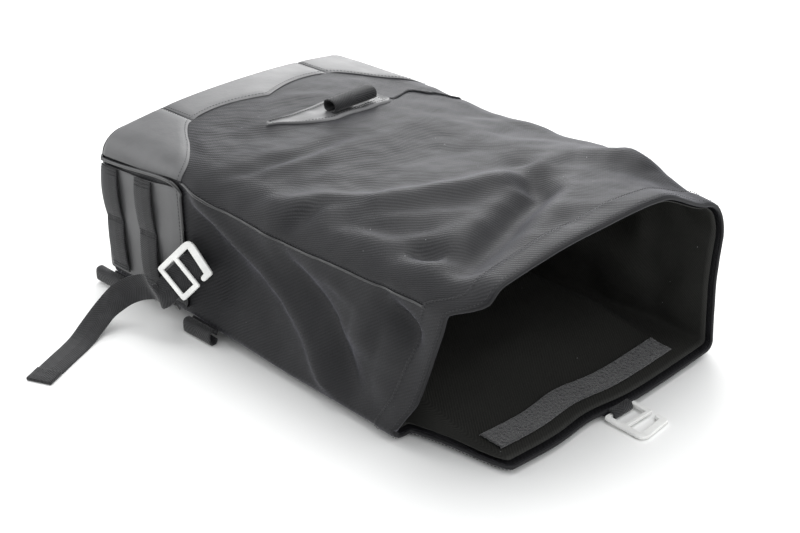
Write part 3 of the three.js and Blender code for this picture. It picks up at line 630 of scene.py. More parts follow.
class Nodes:
    """Short way to lay a material's nodes."""

    def __init__(self, name):
        self.material = bpy.data.materials.new(name)
        self.material.use_nodes = True
        self.tree = self.material.node_tree
        self.tree.nodes.clear()
        self.out = self.add("ShaderNodeOutputMaterial")
        self.shader = self.add("ShaderNodeBsdfPrincipled")
        self.link(self.shader.outputs[0], self.out.inputs[0])

    def add(self, kind, **settings):
        node = self.tree.nodes.new(kind)
        for key, value in settings.items():
            setattr(node, key, value)
        return node

    def link(self, a, b):
        self.tree.links.new(a, b)

    def place(self, source="weave"):
        if source == "weave":
            return self.add("ShaderNodeUVMap", uv_map="weave").outputs[0]
        return self.add("ShaderNodeTexCoord").outputs["Object"]

    def turned(self, vector, angle=0.0, scale=(1, 1, 1)):
        mapping = self.add("ShaderNodeMapping")
        mapping.inputs["Rotation"].default_value = (0, 0, angle)
        mapping.inputs["Scale"].default_value = scale
        self.link(vector, mapping.inputs["Vector"])
        return mapping.outputs[0]

    def bands(self, vector, period, distortion=0.0, detail_scale=2.0):
        wave = self.add("ShaderNodeTexWave", wave_type="BANDS", bands_direction="X")
        wave.inputs["Scale"].default_value = 0.31416 / period
        wave.inputs["Distortion"].default_value = distortion
        wave.inputs["Detail"].default_value = 1
        wave.inputs["Detail Scale"].default_value = detail_scale
        self.link(vector, wave.inputs["Vector"])
        return wave.outputs["Fac"]

    def noise(self, vector, size, detail=3.0, roughness=0.55):
        texture = self.add("ShaderNodeTexNoise")
        texture.inputs["Scale"].default_value = 1 / size
        texture.inputs["Detail"].default_value = detail
        texture.inputs["Roughness"].default_value = roughness
        self.link(vector, texture.inputs["Vector"])
        return texture.outputs[0]

    def math(self, operation, a, b, clamped=False):
        node = self.add("ShaderNodeMath", operation=operation, use_clamp=clamped)
        for socket, value in zip(node.inputs, (a, b)):
            if isinstance(value, (int, float)):
                socket.default_value = value
            else:
                self.link(value, socket)
        return node.outputs[0]

    def span(self, value, low, high, to_low=0.0, to_high=1.0):
        node = self.add("ShaderNodeMapRange")
        for socket, number in zip(node.inputs[1:5], (low, high, to_low, to_high)):
            socket.default_value = number
        self.link(value, node.inputs[0])
        return node.outputs[0]

    def mix(self, amount, a, b, blend="MIX"):
        node = self.add("ShaderNodeMix", data_type="RGBA", blend_type=blend)
        if isinstance(amount, (int, float)):
            node.inputs[0].default_value = amount
        else:
            self.link(amount, node.inputs[0])
        for socket, value in zip(node.inputs[6:8], (a, b)):
            if isinstance(value, tuple):
                socket.default_value = value
            else:
                self.link(value, socket)
        return node.outputs[2]

    def bump(self, height, strength, distance, under=None):
        node = self.add("ShaderNodeBump")
        node.inputs["Strength"].default_value = strength
        node.inputs["Distance"].default_value = distance
        self.link(height, node.inputs["Height"])
        if under is not None:
            self.link(under, node.inputs["Normal"])
        return node.outputs[0]

    def set(self, **values):
        for name, value in values.items():
            self.shader.inputs[name.replace("_", " ")].default_value = value


def rgba(value, factor=1.0):
    return tuple(min(1.0, c * factor) for c in value) + (1.0,)


RIB_ANGLE = math.radians(38)
LINT = (0.55, 0.56, 0.58, 1)


def canvas_cloth(name, base, sheen=0.2, period=0.003, fade=1.5, level=0.3):
    """Woven cloth with a diagonal rib, faded threads and a little lint."""
    n = Nodes(name)
    weave = n.place()
    rib = n.bands(n.turned(weave, RIB_ANGLE), period, 0.6)
    cross = n.bands(n.turned(weave, RIB_ANGLE - math.pi / 2), period * 0.62, 0.6)
    threads = n.math("MULTIPLY", rib, n.span(cross, 0, 1, 0.55, 1.0))
    cloud = n.noise(n.place("object"), 0.045)
    grain = n.noise(weave, 0.0022, 2)
    shade = n.mix(n.span(cloud, 0.3, 0.7), rgba(base, 0.82), rgba(base, fade * 0.86))
    shade = n.mix(n.math("MULTIPLY", threads, 0.7), shade, rgba(base, fade * 1.7))
    shade = n.mix(n.span(grain, 0.35, 0.8, 0, 0.35), shade, rgba(base, fade * 1.9))
    fluff = n.add("ShaderNodeTexVoronoi", feature="F1")
    fluff.inputs["Scale"].default_value = 75
    n.link(n.place("object"), fluff.inputs["Vector"])
    speck = n.math("LESS_THAN", fluff.outputs["Distance"], 0.032)
    chosen = n.math("GREATER_THAN", n.noise(n.place("object"), 0.02, 0), 0.56)
    speck = n.math("MULTIPLY", speck, chosen)
    shade = n.mix(n.math("MULTIPLY", speck, 0.55), shade, LINT)
    n.link(shade, n.shader.inputs["Base Color"])
    n.set(Roughness=0.58, Specular_IOR_Level=level, Sheen_Weight=sheen, Sheen_Roughness=0.3)
    n.set(Sheen_Tint=(0.86, 0.86, 1.0, 1))
    under = n.bump(grain, 0.35, 0.0006)
    n.link(n.bump(threads, 0.55, 0.00035, under), n.shader.inputs["Normal"])
    return n.material


def coated_cloth(name, base, roughness=0.46):
    """Smooth coated cloth with a fine pressed grain."""
    n = Nodes(name)
    place = n.place("object")
    pebble = n.add("ShaderNodeTexVoronoi", feature="SMOOTH_F1")
    pebble.inputs["Scale"].default_value = 900
    n.link(place, pebble.inputs["Vector"])
    wear = n.noise(place, 0.03)
    shade = n.mix(n.span(wear, 0.3, 0.75), rgba(base, 0.85), rgba(base, 1.25))
    n.link(shade, n.shader.inputs["Base Color"])
    worn = n.span(wear, 0.25, 0.75, roughness - 0.05, roughness + 0.09)
    n.link(worn, n.shader.inputs["Roughness"])
    n.set(Specular_IOR_Level=0.5, Coat_Weight=0.06, Coat_Roughness=0.36)
    under = n.bump(n.noise(place, 0.012, 4), 0.25, 0.0012)
    n.link(n.bump(pebble.outputs["Distance"], 0.22, 0.0003, under), n.shader.inputs["Normal"])
    return n.material


def woven_webbing(name, base, period=0.0019):
    """Webbing with a herringbone rib that turns at its middle."""
    n = Nodes(name)
    weave = n.place()
    split = n.add("ShaderNodeSeparateXYZ")
    n.link(weave, split.inputs[0])
    fold_over = n.add("ShaderNodeCombineXYZ")
    n.link(n.math("ABSOLUTE", split.outputs[0], 0), fold_over.inputs[0])
    n.link(split.outputs[1], fold_over.inputs[1])
    rib = n.bands(n.turned(fold_over.outputs[0], math.radians(60)), period, 0.3)
    yarn = n.bands(n.turned(weave), period * 0.8)
    height = n.math("ADD", rib, n.math("MULTIPLY", yarn, 0.4))
    worn = n.noise(n.place("object"), 0.008)
    shade = n.mix(n.math("MULTIPLY", rib, 0.8), rgba(base, 0.7), rgba(base, 2.0))
    shade = n.mix(n.span(worn, 0.45, 0.8, 0, 0.4), shade, rgba(base, 3.0))
    n.link(shade, n.shader.inputs["Base Color"])
    n.set(Roughness=0.78, Specular_IOR_Level=0.3, Sheen_Weight=0.25, Sheen_Roughness=0.4)
    n.link(n.bump(height, 0.6, 0.0004), n.shader.inputs["Normal"])
    return n.material


def fuzzy_tape(name, base):
    """Loop side of a hook-and-loop tape."""
    n = Nodes(name)
    place = n.place("object")
    curl = n.noise(place, 0.0022, 5, 0.75)
    shade = n.mix(n.span(curl, 0.35, 0.7), rgba(base, 0.35), rgba(base, 2.6))
    n.link(shade, n.shader.inputs["Base Color"])
    n.set(Roughness=1.0, Specular_IOR_Level=0.1, Sheen_Weight=0.5, Sheen_Roughness=0.6)
    n.link(n.bump(curl, 0.9, 0.0018), n.shader.inputs["Normal"])
    return n.material


def smooth_finish(name, base, roughness, grain=0.0007, metallic=0.0, coat=0.0, chips=0.0):
    """Paint, moulded plastic, piping or steel, with its grain, dulling and small chips."""
    n = Nodes(name)
    place = n.place("object")
    dull = n.noise(place, 0.018)
    shade = n.mix(n.span(dull, 0.3, 0.7), rgba(base, 0.9), rgba(base, 1.08))
    if chips:
        spot = n.span(n.noise(place, 0.003, 4), 0.70, 0.73)
        shade = n.mix(n.math("MULTIPLY", spot, chips), shade, rgba(base, 0.45))
    n.link(shade, n.shader.inputs["Base Color"])
    worn = n.span(dull, 0.25, 0.75, roughness - 0.04, roughness + 0.08)
    n.link(worn, n.shader.inputs["Roughness"])
    n.set(Metallic=metallic, Specular_IOR_Level=0.5, Coat_Weight=coat, Coat_Roughness=0.15)
    n.link(n.bump(n.noise(place, grain, 3), 0.15, 0.0002), n.shader.inputs["Normal"])
    return n.material


STEEL = (0.6, 0.61, 0.63)


def finish(name):
    """The bag's material of that name, made the first time it is asked for."""
    look, name = name, f"bag {name}"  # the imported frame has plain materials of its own
    if name in bpy.data.materials:
        return bpy.data.materials[name]
    c = colours()
    makers = {
        "canvas": lambda: canvas_cloth(name, c.canvas),
        "lining": lambda: canvas_cloth(name, c.lining, 0.02, 0.0022, fade=1.3, level=0.2),
        "coated cloth": lambda: coated_cloth(name, c.coated),
        "webbing": lambda: woven_webbing(name, c.webbing),
        "loop tape": lambda: fuzzy_tape(name, c.webbing),
        "piping": lambda: smooth_finish(name, c.piping, 0.28, coat=0.3),
        "thread": lambda: smooth_finish(name, c.thread, 0.6, 0.0003),
        "tan tape": lambda: canvas_cloth(name, c.tape, 0.1, 0.001, fade=1.1, level=0.2),
        "white metal": lambda: smooth_finish(name, c.metal, 0.38, coat=0.2, chips=0.5),
        "moulded plastic": lambda: smooth_finish(name, c.moulded, 0.45, 0.0005),
        "steel": lambda: smooth_finish(name, STEEL, 0.32, 0.0004, metallic=1.0),
    }
    return makers[look]()


# ---------------------------------------------------------------- stage


AZIMUTH, ELEVATION = math.radians(45.6), math.radians(28.0)
CAMERA_TARGET, CAMERA_DISTANCE = (164.1, 69.5, 0), 1.6635
LENS, SENSOR = 77.2, 36
TABLE_SIZE = 5
SKY, SKY_STRENGTH = (0.97, 0.985, 1.0, 1), 0.75
LAMPS_LOOK_AT = Vector((0, 0, 0.08))
LAMPS = [  # name, place, size, power
    ("over", (-0.3, 0.4, 2.0), 1.7, 32),
    ("behind", (-1.6, 1.7, 0.95), 1.3, 25),
    ("mouth side", (1.7, -0.3, 1.3), 1.2, 8),
    ("base side", (-1.5, -0.9, 0.9), 1.2, 9),
]


def add_looking(context, name, data, place, way, axis):
    """Puts a camera or lamp at a place, its axis turned along a way."""
    thing = bpy.data.objects.new(name, data)
    context.scene.collection.objects.link(thing)
    thing.location = place
    thing.rotation_mode = "QUATERNION"
    thing.rotation_quaternion = way.to_track_quat(axis, "Y")
    return thing


class PannierStageBuild(Operator):
    """Camera, table, soft light"""

    bl_idname = "pannier.stage"
    bl_label = "Stage"

    def execute(self, context):
        flat = math.cos(ELEVATION)
        away = Vector((math.sin(AZIMUTH) * flat, -math.cos(AZIMUTH) * flat, math.sin(ELEVATION)))
        data = bpy.data.cameras.new("camera")
        data.sensor_width = SENSOR
        data.lens = LENS
        data.clip_start, data.clip_end = 0.05, 30
        place = to_row(CAMERA_TARGET) + away * CAMERA_DISTANCE
        context.scene.camera = add_looking(context, "camera", data, place, -away, "-Z")

        bm = bmesh.new()
        bmesh.ops.create_grid(bm, x_segments=2, y_segments=2, size=TABLE_SIZE)
        n = Nodes("table")
        n.set(Base_Color=rgba(context.scene.pannier_stage.floor), Roughness=0.7)
        table = object_from(bm, "table", n.material)

        world = bpy.data.worlds.new("studio")
        context.scene.world = world
        world.use_nodes = True
        sky = world.node_tree.nodes["Background"]
        sky.inputs[0].default_value = SKY
        sky.inputs[1].default_value = SKY_STRENGTH
        for name, place, size, power in LAMPS:
            light = bpy.data.lights.new(name, "AREA")
            light.shape = "SQUARE"
            light.size = size
            light.energy = power * context.scene.pannier_stage.light
            add_looking(context, name, light, place, Vector(place) - LAMPS_LOOK_AT, "Z")
        context.scene.view_settings.view_transform = "Standard"
        return {"FINISHED"}


# ---------------------------------------------------------------- free strap

HOOK_PLACE = Vector((124, -174, 57))
HOOK_OUT = Vector((0.4, -0.85, 0.33)).normalized()
HOOK_BAR = Vector((0.777, 0.127, -0.617))
HOOK_BAR = (HOOK_BAR - HOOK_OUT * HOOK_BAR.dot(HOOK_OUT)).normalized()
HOOK_UP = HOOK_OUT.cross(HOOK_BAR)
UNDER_HOOK = 2.9  # the strap's upper layer runs this far under the hook's face
LAYERS = 3.6  # from one layer of the strap to the other
GROUND = 1.1  # height of a strap's middle that lies on the floor
FLOOR_SIDE = (0.9, 0.43, 0)
WEBBING = 1.5  # thickness
STRAP_SLACK = 0.6  # the strap is this much narrower than the strips
STRAP_STEPS = 150
FOLD_STEPS, FOLD_STEP = 20, 0.98  # the strap's folded end


def on_hook(up, depth):
    return HOOK_PLACE + HOOK_UP * up - HOOK_OUT * depth


STRAP_ROUTE = [
    ((103, -158, 27), HOOK_BAR),
    ((108, -164.5, 36), HOOK_BAR),
    (on_hook(-12, UNDER_HOOK + LAYERS + 1), HOOK_BAR),
    (on_hook(0, UNDER_HOOK + LAYERS), HOOK_BAR),
    (on_hook(14, UNDER_HOOK + LAYERS), HOOK_BAR),
    (on_hook(29, UNDER_HOOK + LAYERS), HOOK_BAR),
    (on_hook(32.6, UNDER_HOOK + LAYERS / 2), HOOK_BAR),
    (on_hook(29, UNDER_HOOK), HOOK_BAR),
    (on_hook(14, UNDER_HOOK), HOOK_BAR),
    (on_hook(0, UNDER_HOOK), HOOK_BAR),
    (on_hook(-16, UNDER_HOOK - 1.5), HOOK_BAR),
    ((94, -178, 45), (0.62, 0.1, -0.78)),
    ((72, -186, 34), (0.7, 0.2, -0.68)),
    ((61, -199, 20), (0.95, 0.15, -0.25)),
    ((62, -218, 7.5), (0.93, 0.35, -0.06)),
    ((67, -232, 2.4), FLOOR_SIDE),
    ((73, -245, GROUND), FLOOR_SIDE),
    ((83, -267, GROUND), FLOOR_SIDE),
    ((91, -284, GROUND), FLOOR_SIDE),
]


class PannierFreeStrap(Operator):
    """Free strap, its folded end"""

    bl_idname = "pannier.free_strap"
    bl_label = "Free strap"

    def execute(self, context):
        width = shape().strip_width / MM - STRAP_SLACK
        places = curve_points([p for p, _ in STRAP_ROUTE], STRAP_STEPS)
        sides = curve_points([s for _, s in STRAP_ROUTE], STRAP_STEPS)
        strap = ribbon("side_strap_webbing", list(zip(places, sides)), width, WEBBING)
        stand_for(strap, "webbing", "side_strap")

        end = places[-1]
        way = (end - places[-4]).normalized()
        side = Vector((-way.y, way.x, 0))
        tail = [(end + way * (0.4 + FOLD_STEP * k) + UP * 0.8, side) for k in range(FOLD_STEPS + 1)]
        fold_over = ribbon("side_strap_fold", tail, width + 0.2, 2 * WEBBING, edge=0.9)
        stand_for(fold_over, "webbing", "side_strap_end")
        rows = []
        for reach in (4.0, 7.5, 14.5, 17.5):
            middle = end + way * reach + UP * 2.35
            rows.append([(middle - side * 10.5, UP), (middle + side * 10.5, UP)])
        sewing = stitches("side_strap_stitches", rows, "webbing", 2.6, 0.28)
        return {"FINISHED"}


# ---------------------------------------------------------------- shell, liner, hem


def boot_share(around):
    return along_at(boot_reach(bag_point(1, around, creased=False)), around)


def hem_start(around):
    return along_at(body_length() - rim_back(around) - shape().hem_depth / MM, around)


LINING, LINING_FLOOR = 6.2, 7.5  # how far inside the canvas the lining hangs, and at the back


class PannierShell(Operator):
    """Canvas shell, lining, hem round the mouth"""

    bl_idname = "pannier.shell"
    bl_label = "Shell"

    def execute(self, context):
        rows = joined(steps(4, 0.35, 1), steps(112, 1, 2))
        canvas = bag_sheet("canvas_shell", AROUND, rows, 0, 1.2, "canvas")
        stand_for(canvas, "canvas", "canvas_body")

        def inner(u, v):
            loose = noise.noise(
                bag_point(min(v, 1.99), u, creased=False) / 33 + Vector((4, 1, 9))
            )
            return LINING + 3.2 * loose * smooth((v - 0.6) / 0.5) * smooth((1.95 - v) / 0.1)

        rows = joined(steps(9, -1, 0), steps(5, 0, 1), steps(76, 1, 1.992))
        deep = {"floor": LINING_FLOOR, "end": LINING_FLOOR, "crown": 0}
        liner = bag_sheet("inner_lining", AROUND, rows, inner, 0.8, "lining", "in", **deep)
        stand_for(liner, "lining", "inner_liner", "back_board", "base_board")

        self.hem_band()
        lip = [bag_point(2, u, 1.6) for u in AROUND]
        stand_for(tube("lip_roll", lip, 1.75, "canvas"), "canvas")
        self.sew_hem()
        return {"FINISHED"}

    def hem_band(self):
        def place(u, k):
            wave = noise.noise(bag_point(2, u) / 19 + Vector((k, 0, 3)))
            lift = 0.5 + 0.9 * math.sin(math.pi * k) ** 0.5 + 0.25 * wave
            return bag_point(lerp(hem_start(u), 2.0, k), u, -lift)

        weave = round_weave(shape().hem_depth)
        band = sheet("hem_outside", AROUND, steps(9), place, weave, "canvas", 1.0, 0.3)
        stand_for(band, "canvas", "mouth_hem")

    def sew_hem(self):
        rows = []
        for share, inset in ((0.05, -1.7), (0.12, -1.9), (0.9, -1.9)):
            alongs = [lerp(hem_start(u), 2.0, share) for u in AROUND]
            rows.append(on_bag(AROUND, alongs, inset))
        stitches("hem_stitches", rows, "canvas", radius=0.27)


# ---------------------------------------------------------------- boot

CORNER_SEAM = 0.16
SEAMS = (FRONT + CORNER_SEAM, FAR_SHOULDER - CORNER_SEAM)
SEAM_GAP = 0.003
PANEL = -1.6  # the panels' outer faces stand this far out of the canvas
PANEL_CLOTH = 1.3
PIPING = 1.75
SIDES = {  # foot of the side, its seam and the way from one to the other
    "near": (NEAR_SIDE, NEAR_SEAM, 1),
    "far": (FAR_CORNER, FAR_SEAM, -1),
}


def seam_dip(place, edges, depth=1.0, reach=0.02):
    """Draws a panel down beside its sewn edges."""
    nearest = min(abs(place - e) for e in edges)
    return depth * math.exp(-((nearest / reach) ** 2))


class PannierBoot(Operator):
    """Coated panels round the base end, with their piping and sewing"""

    bl_idname = "pannier.boot"
    bl_label = "Boot"

    def execute(self, context):
        near, far = SEAMS
        runs = {
            "front_corner_near": joined(
                steps(9, NEAR_SEAM + 0.08, FRONT), steps(9, FRONT, near - SEAM_GAP)
            ),
            "front_lower_panel": steps(50, near + SEAM_GAP, far - SEAM_GAP),
            "front_corner_far": joined(
                steps(9, far + SEAM_GAP, FAR_SHOULDER), steps(9, FAR_SHOULDER, FAR_SEAM - 0.08)
            ),
        }
        for node, arounds in runs.items():
            self.panel(node, arounds, self.front_place, 26, 0.08)
        self.base()
        for side, (foot, seam, way) in SIDES.items():
            arounds = steps(34, foot + way * 0.02, seam - way * 0.05)
            self.panel(f"side_panel_{side}", arounds, self.side_place, 22, BOOT_LENGTH * MM)
            self.pipe(side, foot, seam, way)
        self.sew()
        return {"FINISHED"}

    def panel(self, node, arounds, place, rows, depth):
        weave = round_weave(depth)
        look = "coated cloth"
        cloth = sheet(f"{node}_cloth", arounds, steps(rows), place, weave, look, PANEL_CLOTH, 0.4)
        stand_for(cloth, "coated", node)

    def front_place(self, u, k):
        swell = 0.9 * noise.noise(Vector((u * 3, k * 2, 1.7)))
        dip = seam_dip(u, SEAMS) + seam_dip(k, (1.0,), 0.8, 0.04)
        return bag_point(lerp(0.24, boot_share(u), k), u, PANEL - swell + dip, creased=False)

    def side_place(self, u, k):
        swell = 1.1 * noise.noise(Vector((u * 4, k * 2.4, 8.2))) * math.sin(math.pi * k)
        end = along_at(BOOT_LENGTH - 1.5, u)
        return bag_point(lerp(0.3, end, k), u, PANEL - swell, creased=False)

    def base(self):
        def inset(u, v):
            swell = noise.noise(bag_point(v, u, creased=False) / 52)
            return PANEL + 0.1 + 0.9 * swell * smooth((0.1 - v) / 0.3)

        rows = steps(26, -1, 0.25)
        look = "coated cloth"
        cap = bag_sheet(
            "base_panel_cloth", AROUND, rows, inset, PANEL_CLOTH, look, creased=False
        )
        stand_for(cap, "coated", "base_panel")
        edge = [bag_point(0.27, u, PANEL - 0.9, creased=False) for u in AROUND]
        stand_for(tube("base_piping", edge, 1.6, "piping"), "piping")

    def pipe(self, side, foot, seam, way):
        lift = -1.9
        arounds = steps(16, foot + way * 0.02, seam - way * 0.06)
        up = [bag_point(along_at(BOOT_LENGTH, u), u, lift, creased=False) for u in arounds]
        top = along_at(BOOT_LENGTH, seam)
        back = [
            bag_point(lerp(0.3, top, k), seam, lift - 0.5, creased=False)
            for k in steps(18, 0.95, 0.03)
        ]
        arounds = steps(16, seam - way * 0.06, foot + way * 0.02)
        down = [bag_point(0.28, u, lift, creased=False) for u in arounds]
        path = curve_points([*up[:-1:3], up[-1], *back[::3], *down[::3]], 110)
        cord = tube(f"side_piping_{side}_cord", path, PIPING, "piping")
        stand_for(cord, "piping", f"side_piping_{side}")

    def sew(self):
        lines = []
        for seam in SEAMS:
            for around in (seam - 0.012, seam + 0.012):
                alongs = steps(30, 0.3, boot_share(around) - 0.01)
                lines.append(([around] * len(alongs), alongs, 0.1))
        arounds = joined(steps(12, 1.12, 2), steps(60, 2, 3), steps(12, 3, 3.88))
        lines.append((arounds, [boot_share(u) - 0.008 for u in arounds], 0.1))
        for foot, seam, way in SIDES.values():
            arounds = steps(20, foot + way * 0.05, seam - way * 0.07)
            lines.append((arounds, [along_at(BOOT_LENGTH - 5, u) for u in arounds], 0.2))
        rows = [on_bag(us, vs, PANEL - proud, creased=False) for us, vs, proud in lines]
        stitches("boot_stitches", rows, "coated", radius=0.27)


# ---------------------------------------------------------------- strips, loops, patch

POCKET_NEAR, POCKET_FAR = 82, 136
# share of the way from POCKET_NEAR to POCKET_FAR, distance from the base end
POCKET_EDGE = [(0, 139), (0.5, 131), (0.78, 149), (1, 173)]
STRIP_STARTS = {"front": (60, 54), "rear": (12, 4)}  # at the foot and at the seam
TACKS = (0.07, 0.1, 0.48, 0.5, 0.52, 0.9, 0.93)  # where a strip is sewn down
LOOP_FEET = {"rear": (4, 9.5), "front": (137, 7.9)}
LOOP_LENGTH, LOOP_SIZE = 38, (14.6, 9.3)
LIGHT_LOOP, LIGHT_LOOP_LENGTH, LIGHT_LOOP_SIZE = (133, 36), 52, (16.8, 12.2)
PATCH, PATCH_LENGTH, PATCH_WIDTH, PATCH_TIP = (129, 15), 128, 40, 7
PATCH_TAPER = 0.45


class PannierWebbing(Operator):
    """Webbing strips on the sides, lashing loops, light loop, patch and pocket binding"""

    bl_idname = "pannier.webbing"
    bl_label = "Webbing"

    def execute(self, context):
        bars = []
        for side, (foot, seam, way) in SIDES.items():
            for place, (low, high) in STRIP_STARTS.items():
                bars += self.strip(f"side_strip_{side}_{place}", foot, seam, way, low, high)
        stitches("strip_tacks", bars, "webbing", 1.5, 0.42)
        self.edge_loops()
        self.light_loop()
        self.patch()
        self.binding()
        return {"FINISHED"}

    def strip(self, node, foot, seam, way, low, high):
        """Makes a side strip and returns the stitches across it."""
        width = shape().strip_width / MM

        def corner(u, k, extra):
            up = abs(u - foot)
            x = lerp(low, high, smooth(up)) + (width - 1) * k
            loose = 2.2 + 2.3 * abs(math.sin(2 * math.pi * clamp((up - 0.05) / 0.9))) ** 0.8
            along = along_at(x, u)
            return bag_point(along, u, PANEL - loose - extra, creased=False), outward(along, u)

        def place(u, k):
            return corner(u, k, 0.3 * math.sin(math.pi * k))[0]

        def weave(u, k):
            return (k - 0.5) * width * MM, abs(u - foot) * 0.12

        arounds = steps(46, foot + way * 0.05, seam - way * 0.045)
        name = f"{node}_webbing"
        strip = sheet(name, arounds, steps(6), place, weave, "webbing", WEBBING, 0.35)
        stand_for(strip, "webbing", node)
        return [[corner(foot + way * t, k, 0.4) for k in (0.06, 0.5, 0.94)] for t in TACKS]

    def tunnel(self, name, node, axes, base, size, length, flat=0.62):
        """A webbing tube: axes are along, across and up, base the middle of its sewn foot."""
        wide, high = size
        along, across, up = (Vector(axis) for axis in axes)

        def place(turn, k):
            c, s = math.cos(turn - math.pi / 2), math.sin(turn - math.pi / 2)
            y = math.copysign(abs(c) ** flat, c) * wide / 2
            z = (1 + math.copysign(abs(s) ** flat, s)) * high / 2
            lean = 0.5 * math.sin(3 * k) * (z / high)
            return Vector(base) + along * (k * length) + across * (y + lean) + up * z

        def weave(turn, k):
            return k * length * MM, turn * wide * 0.4 * MM

        turns, rows = steps(28, 0.12, 2 * math.pi - 0.12), steps(12, -0.5, 0.5)
        loop = sheet(name, turns, rows, place, weave, "webbing", WEBBING, 0.3, "tube")
        stand_for(loop, "webbing", node)

    def edge_loops(self):
        out_at = half_width() - 2
        for side, (out, corner) in {"near": (-1, NEAR_CORNER), "far": (1, FAR_CORNER)}.items():
            corner += 0.5
            axes = ((1, 0, 0), (0, 0, -out), (0, out, 0))
            for place, (x, z) in LOOP_FEET.items():
                name = f"edge_loop_{side}_{place}"
                base = (x, out * out_at, z)
                self.tunnel(f"{name}_webbing", name, axes, base, LOOP_SIZE, LOOP_LENGTH)
                # A tab joins the loop to the seam above it; the rear one only where there is bag.
                middle, wide = (13, 20) if place == "rear" else (x, 36)
                seam = bag_point(along_at(middle, corner), corner, 0.4, creased=False)
                low = Vector((middle, out * (out_at + 0.4), z + 1))
                half_way = seam.lerp(low, 0.5) + Vector((0, out * 0.8, 0))
                places = [(p, (1, 0, 0)) for p in curve_points([seam, half_way, low], 10)]
                stand_for(ribbon(f"{name}_tab", places, wide, 1.4), "webbing")

    def front_height(self, x, y):
        half = half_width() - SHOULDER
        around = FRONT + clamp((y + half) / (2 * half))
        return bag_point(along_at(x, around), around).z

    def light_loop(self):
        x, y = LIGHT_LOOP
        length = LIGHT_LOOP_LENGTH
        z = self.front_height(x, y) + 2.6
        axes = ((0, 1, 0), (-1, 0, 0), (0, 0, 1))
        node = "front_light_loop"
        self.tunnel("light_loop_webbing", node, axes, (x, y, z), LIGHT_LOOP_SIZE, length, 0.8)
        rows = [
            [(Vector((x + side * 9, y + end * (length / 2 - 3), z + 0.6)), UP) for end in (-1, 1)]
            for side in (-1, 1)
        ]
        stitches("light_loop_stitches", rows, "webbing")

    def patch(self):
        def half(t):
            wide = (PATCH_TIP + (PATCH_WIDTH - PATCH_TIP) * smooth(t / PATCH_TAPER)) / 2
            if t < 0.06:
                wide *= math.sqrt(clamp(1 - ((0.06 - t) / 0.06) ** 2, 0.02))
            if t > 0.93:
                wide *= math.sqrt(clamp(1 - ((t - 0.93) / 0.075) ** 2, 0.12))
            return wide

        def place(t, k):
            back = (PATCH_WIDTH - PATCH_TIP) / 2 * (1 - smooth(t / PATCH_TAPER))
            x = PATCH[0] - back + k * half(t)
            y = PATCH[1] + (t - 0.5) * PATCH_LENGTH
            edge = max(abs(k), 1 - 8 * t, 1 - 11 * (1 - t))
            rim = 1.1 * math.exp(-(((edge - 0.82) / 0.12) ** 2)) - 0.9 * smooth((edge - 0.9) / 0.1)
            return Vector((x, y, self.front_height(x, y) + 1.1 + rim))

        def weave(t, k):
            return t * PATCH_LENGTH * MM, k * 0.018

        rows = steps(20, -1, 1)
        look = "coated cloth"
        patch = sheet("front_patch_cloth", steps(70), rows, place, weave, look, 1.2, 0.3)
        stand_for(patch, "coated", "front_patch")
        ring = [place(t, 0.72) + UP * 0.25 for t in steps(40, 0.05, 0.93)]
        ring += [place(t, -0.72) + UP * 0.25 for t in steps(40, 0.93, 0.05)]
        stitches("patch_stitches", [[(p, UP) for p in [*ring, ring[0]]]], "coated", 3.0, 0.3)

    def binding(self):
        first, last = FRONT + 0.83, FAR_SHOULDER + 0.35

        def place(u, k):
            y = bag_point(1, u, creased=False).y
            x = profile(POCKET_EDGE, 1, (y - POCKET_NEAR) / (POCKET_FAR - POCKET_NEAR)) + 5 * k
            ends = smooth((u - first) / 0.03) * smooth((last - u) / 0.03)
            return bag_point(along_at(x, u), u, -0.4 - 1.5 * math.sin(math.pi * k) * ends)

        arounds = joined(steps(24, first, FAR_SHOULDER), steps(8, FAR_SHOULDER, last))
        weave = round_weave(0.005)
        strip = sheet("pocket_binding_tape", arounds, steps(6), place, weave, "canvas", 0.8)
        stand_for(strip, "piping", "pocket_binding")


# ---------------------------------------------------------------- side seams and mouth details


class PannierSeams(Operator):
    """Raised seams between the front and the sides"""

    bl_idname = "pannier.seams"
    bl_label = "Side seams"

    def execute(self, context):
        for side, around in (("near", NEAR_SEAM), ("far", FAR_SEAM)):
            start = along_at(BOOT_LENGTH, around)
            alongs = steps(90, start, hem_start(around) + 0.01)
            line = [bag_point(v, around, -0.35) for v in alongs]
            stand_for(tube(f"side_seam_{side}", line, 1.35, "piping", 8), "canvas")
            step = 0.055 if side == "near" else -0.055
            row = on_bag([around + step] * len(alongs), alongs, -0.15)
            stitches(f"side_seam_stitches_{side}", [row], "canvas")
        return {"FINISHED"}


GRIP_WIDTH, GRIP_SETBACK = 24, 17  # loop tape, and how far it lies behind the rim
TAPE_UNDER = 10.5  # the tan tape hangs this far under the cloth, clear of the lining
TAPE_WIDTH = 16
TAB_BAR, TAB_FLOOR, TAB_Y = 480.5, 1.1, 16  # the second hook's bar, and its tab


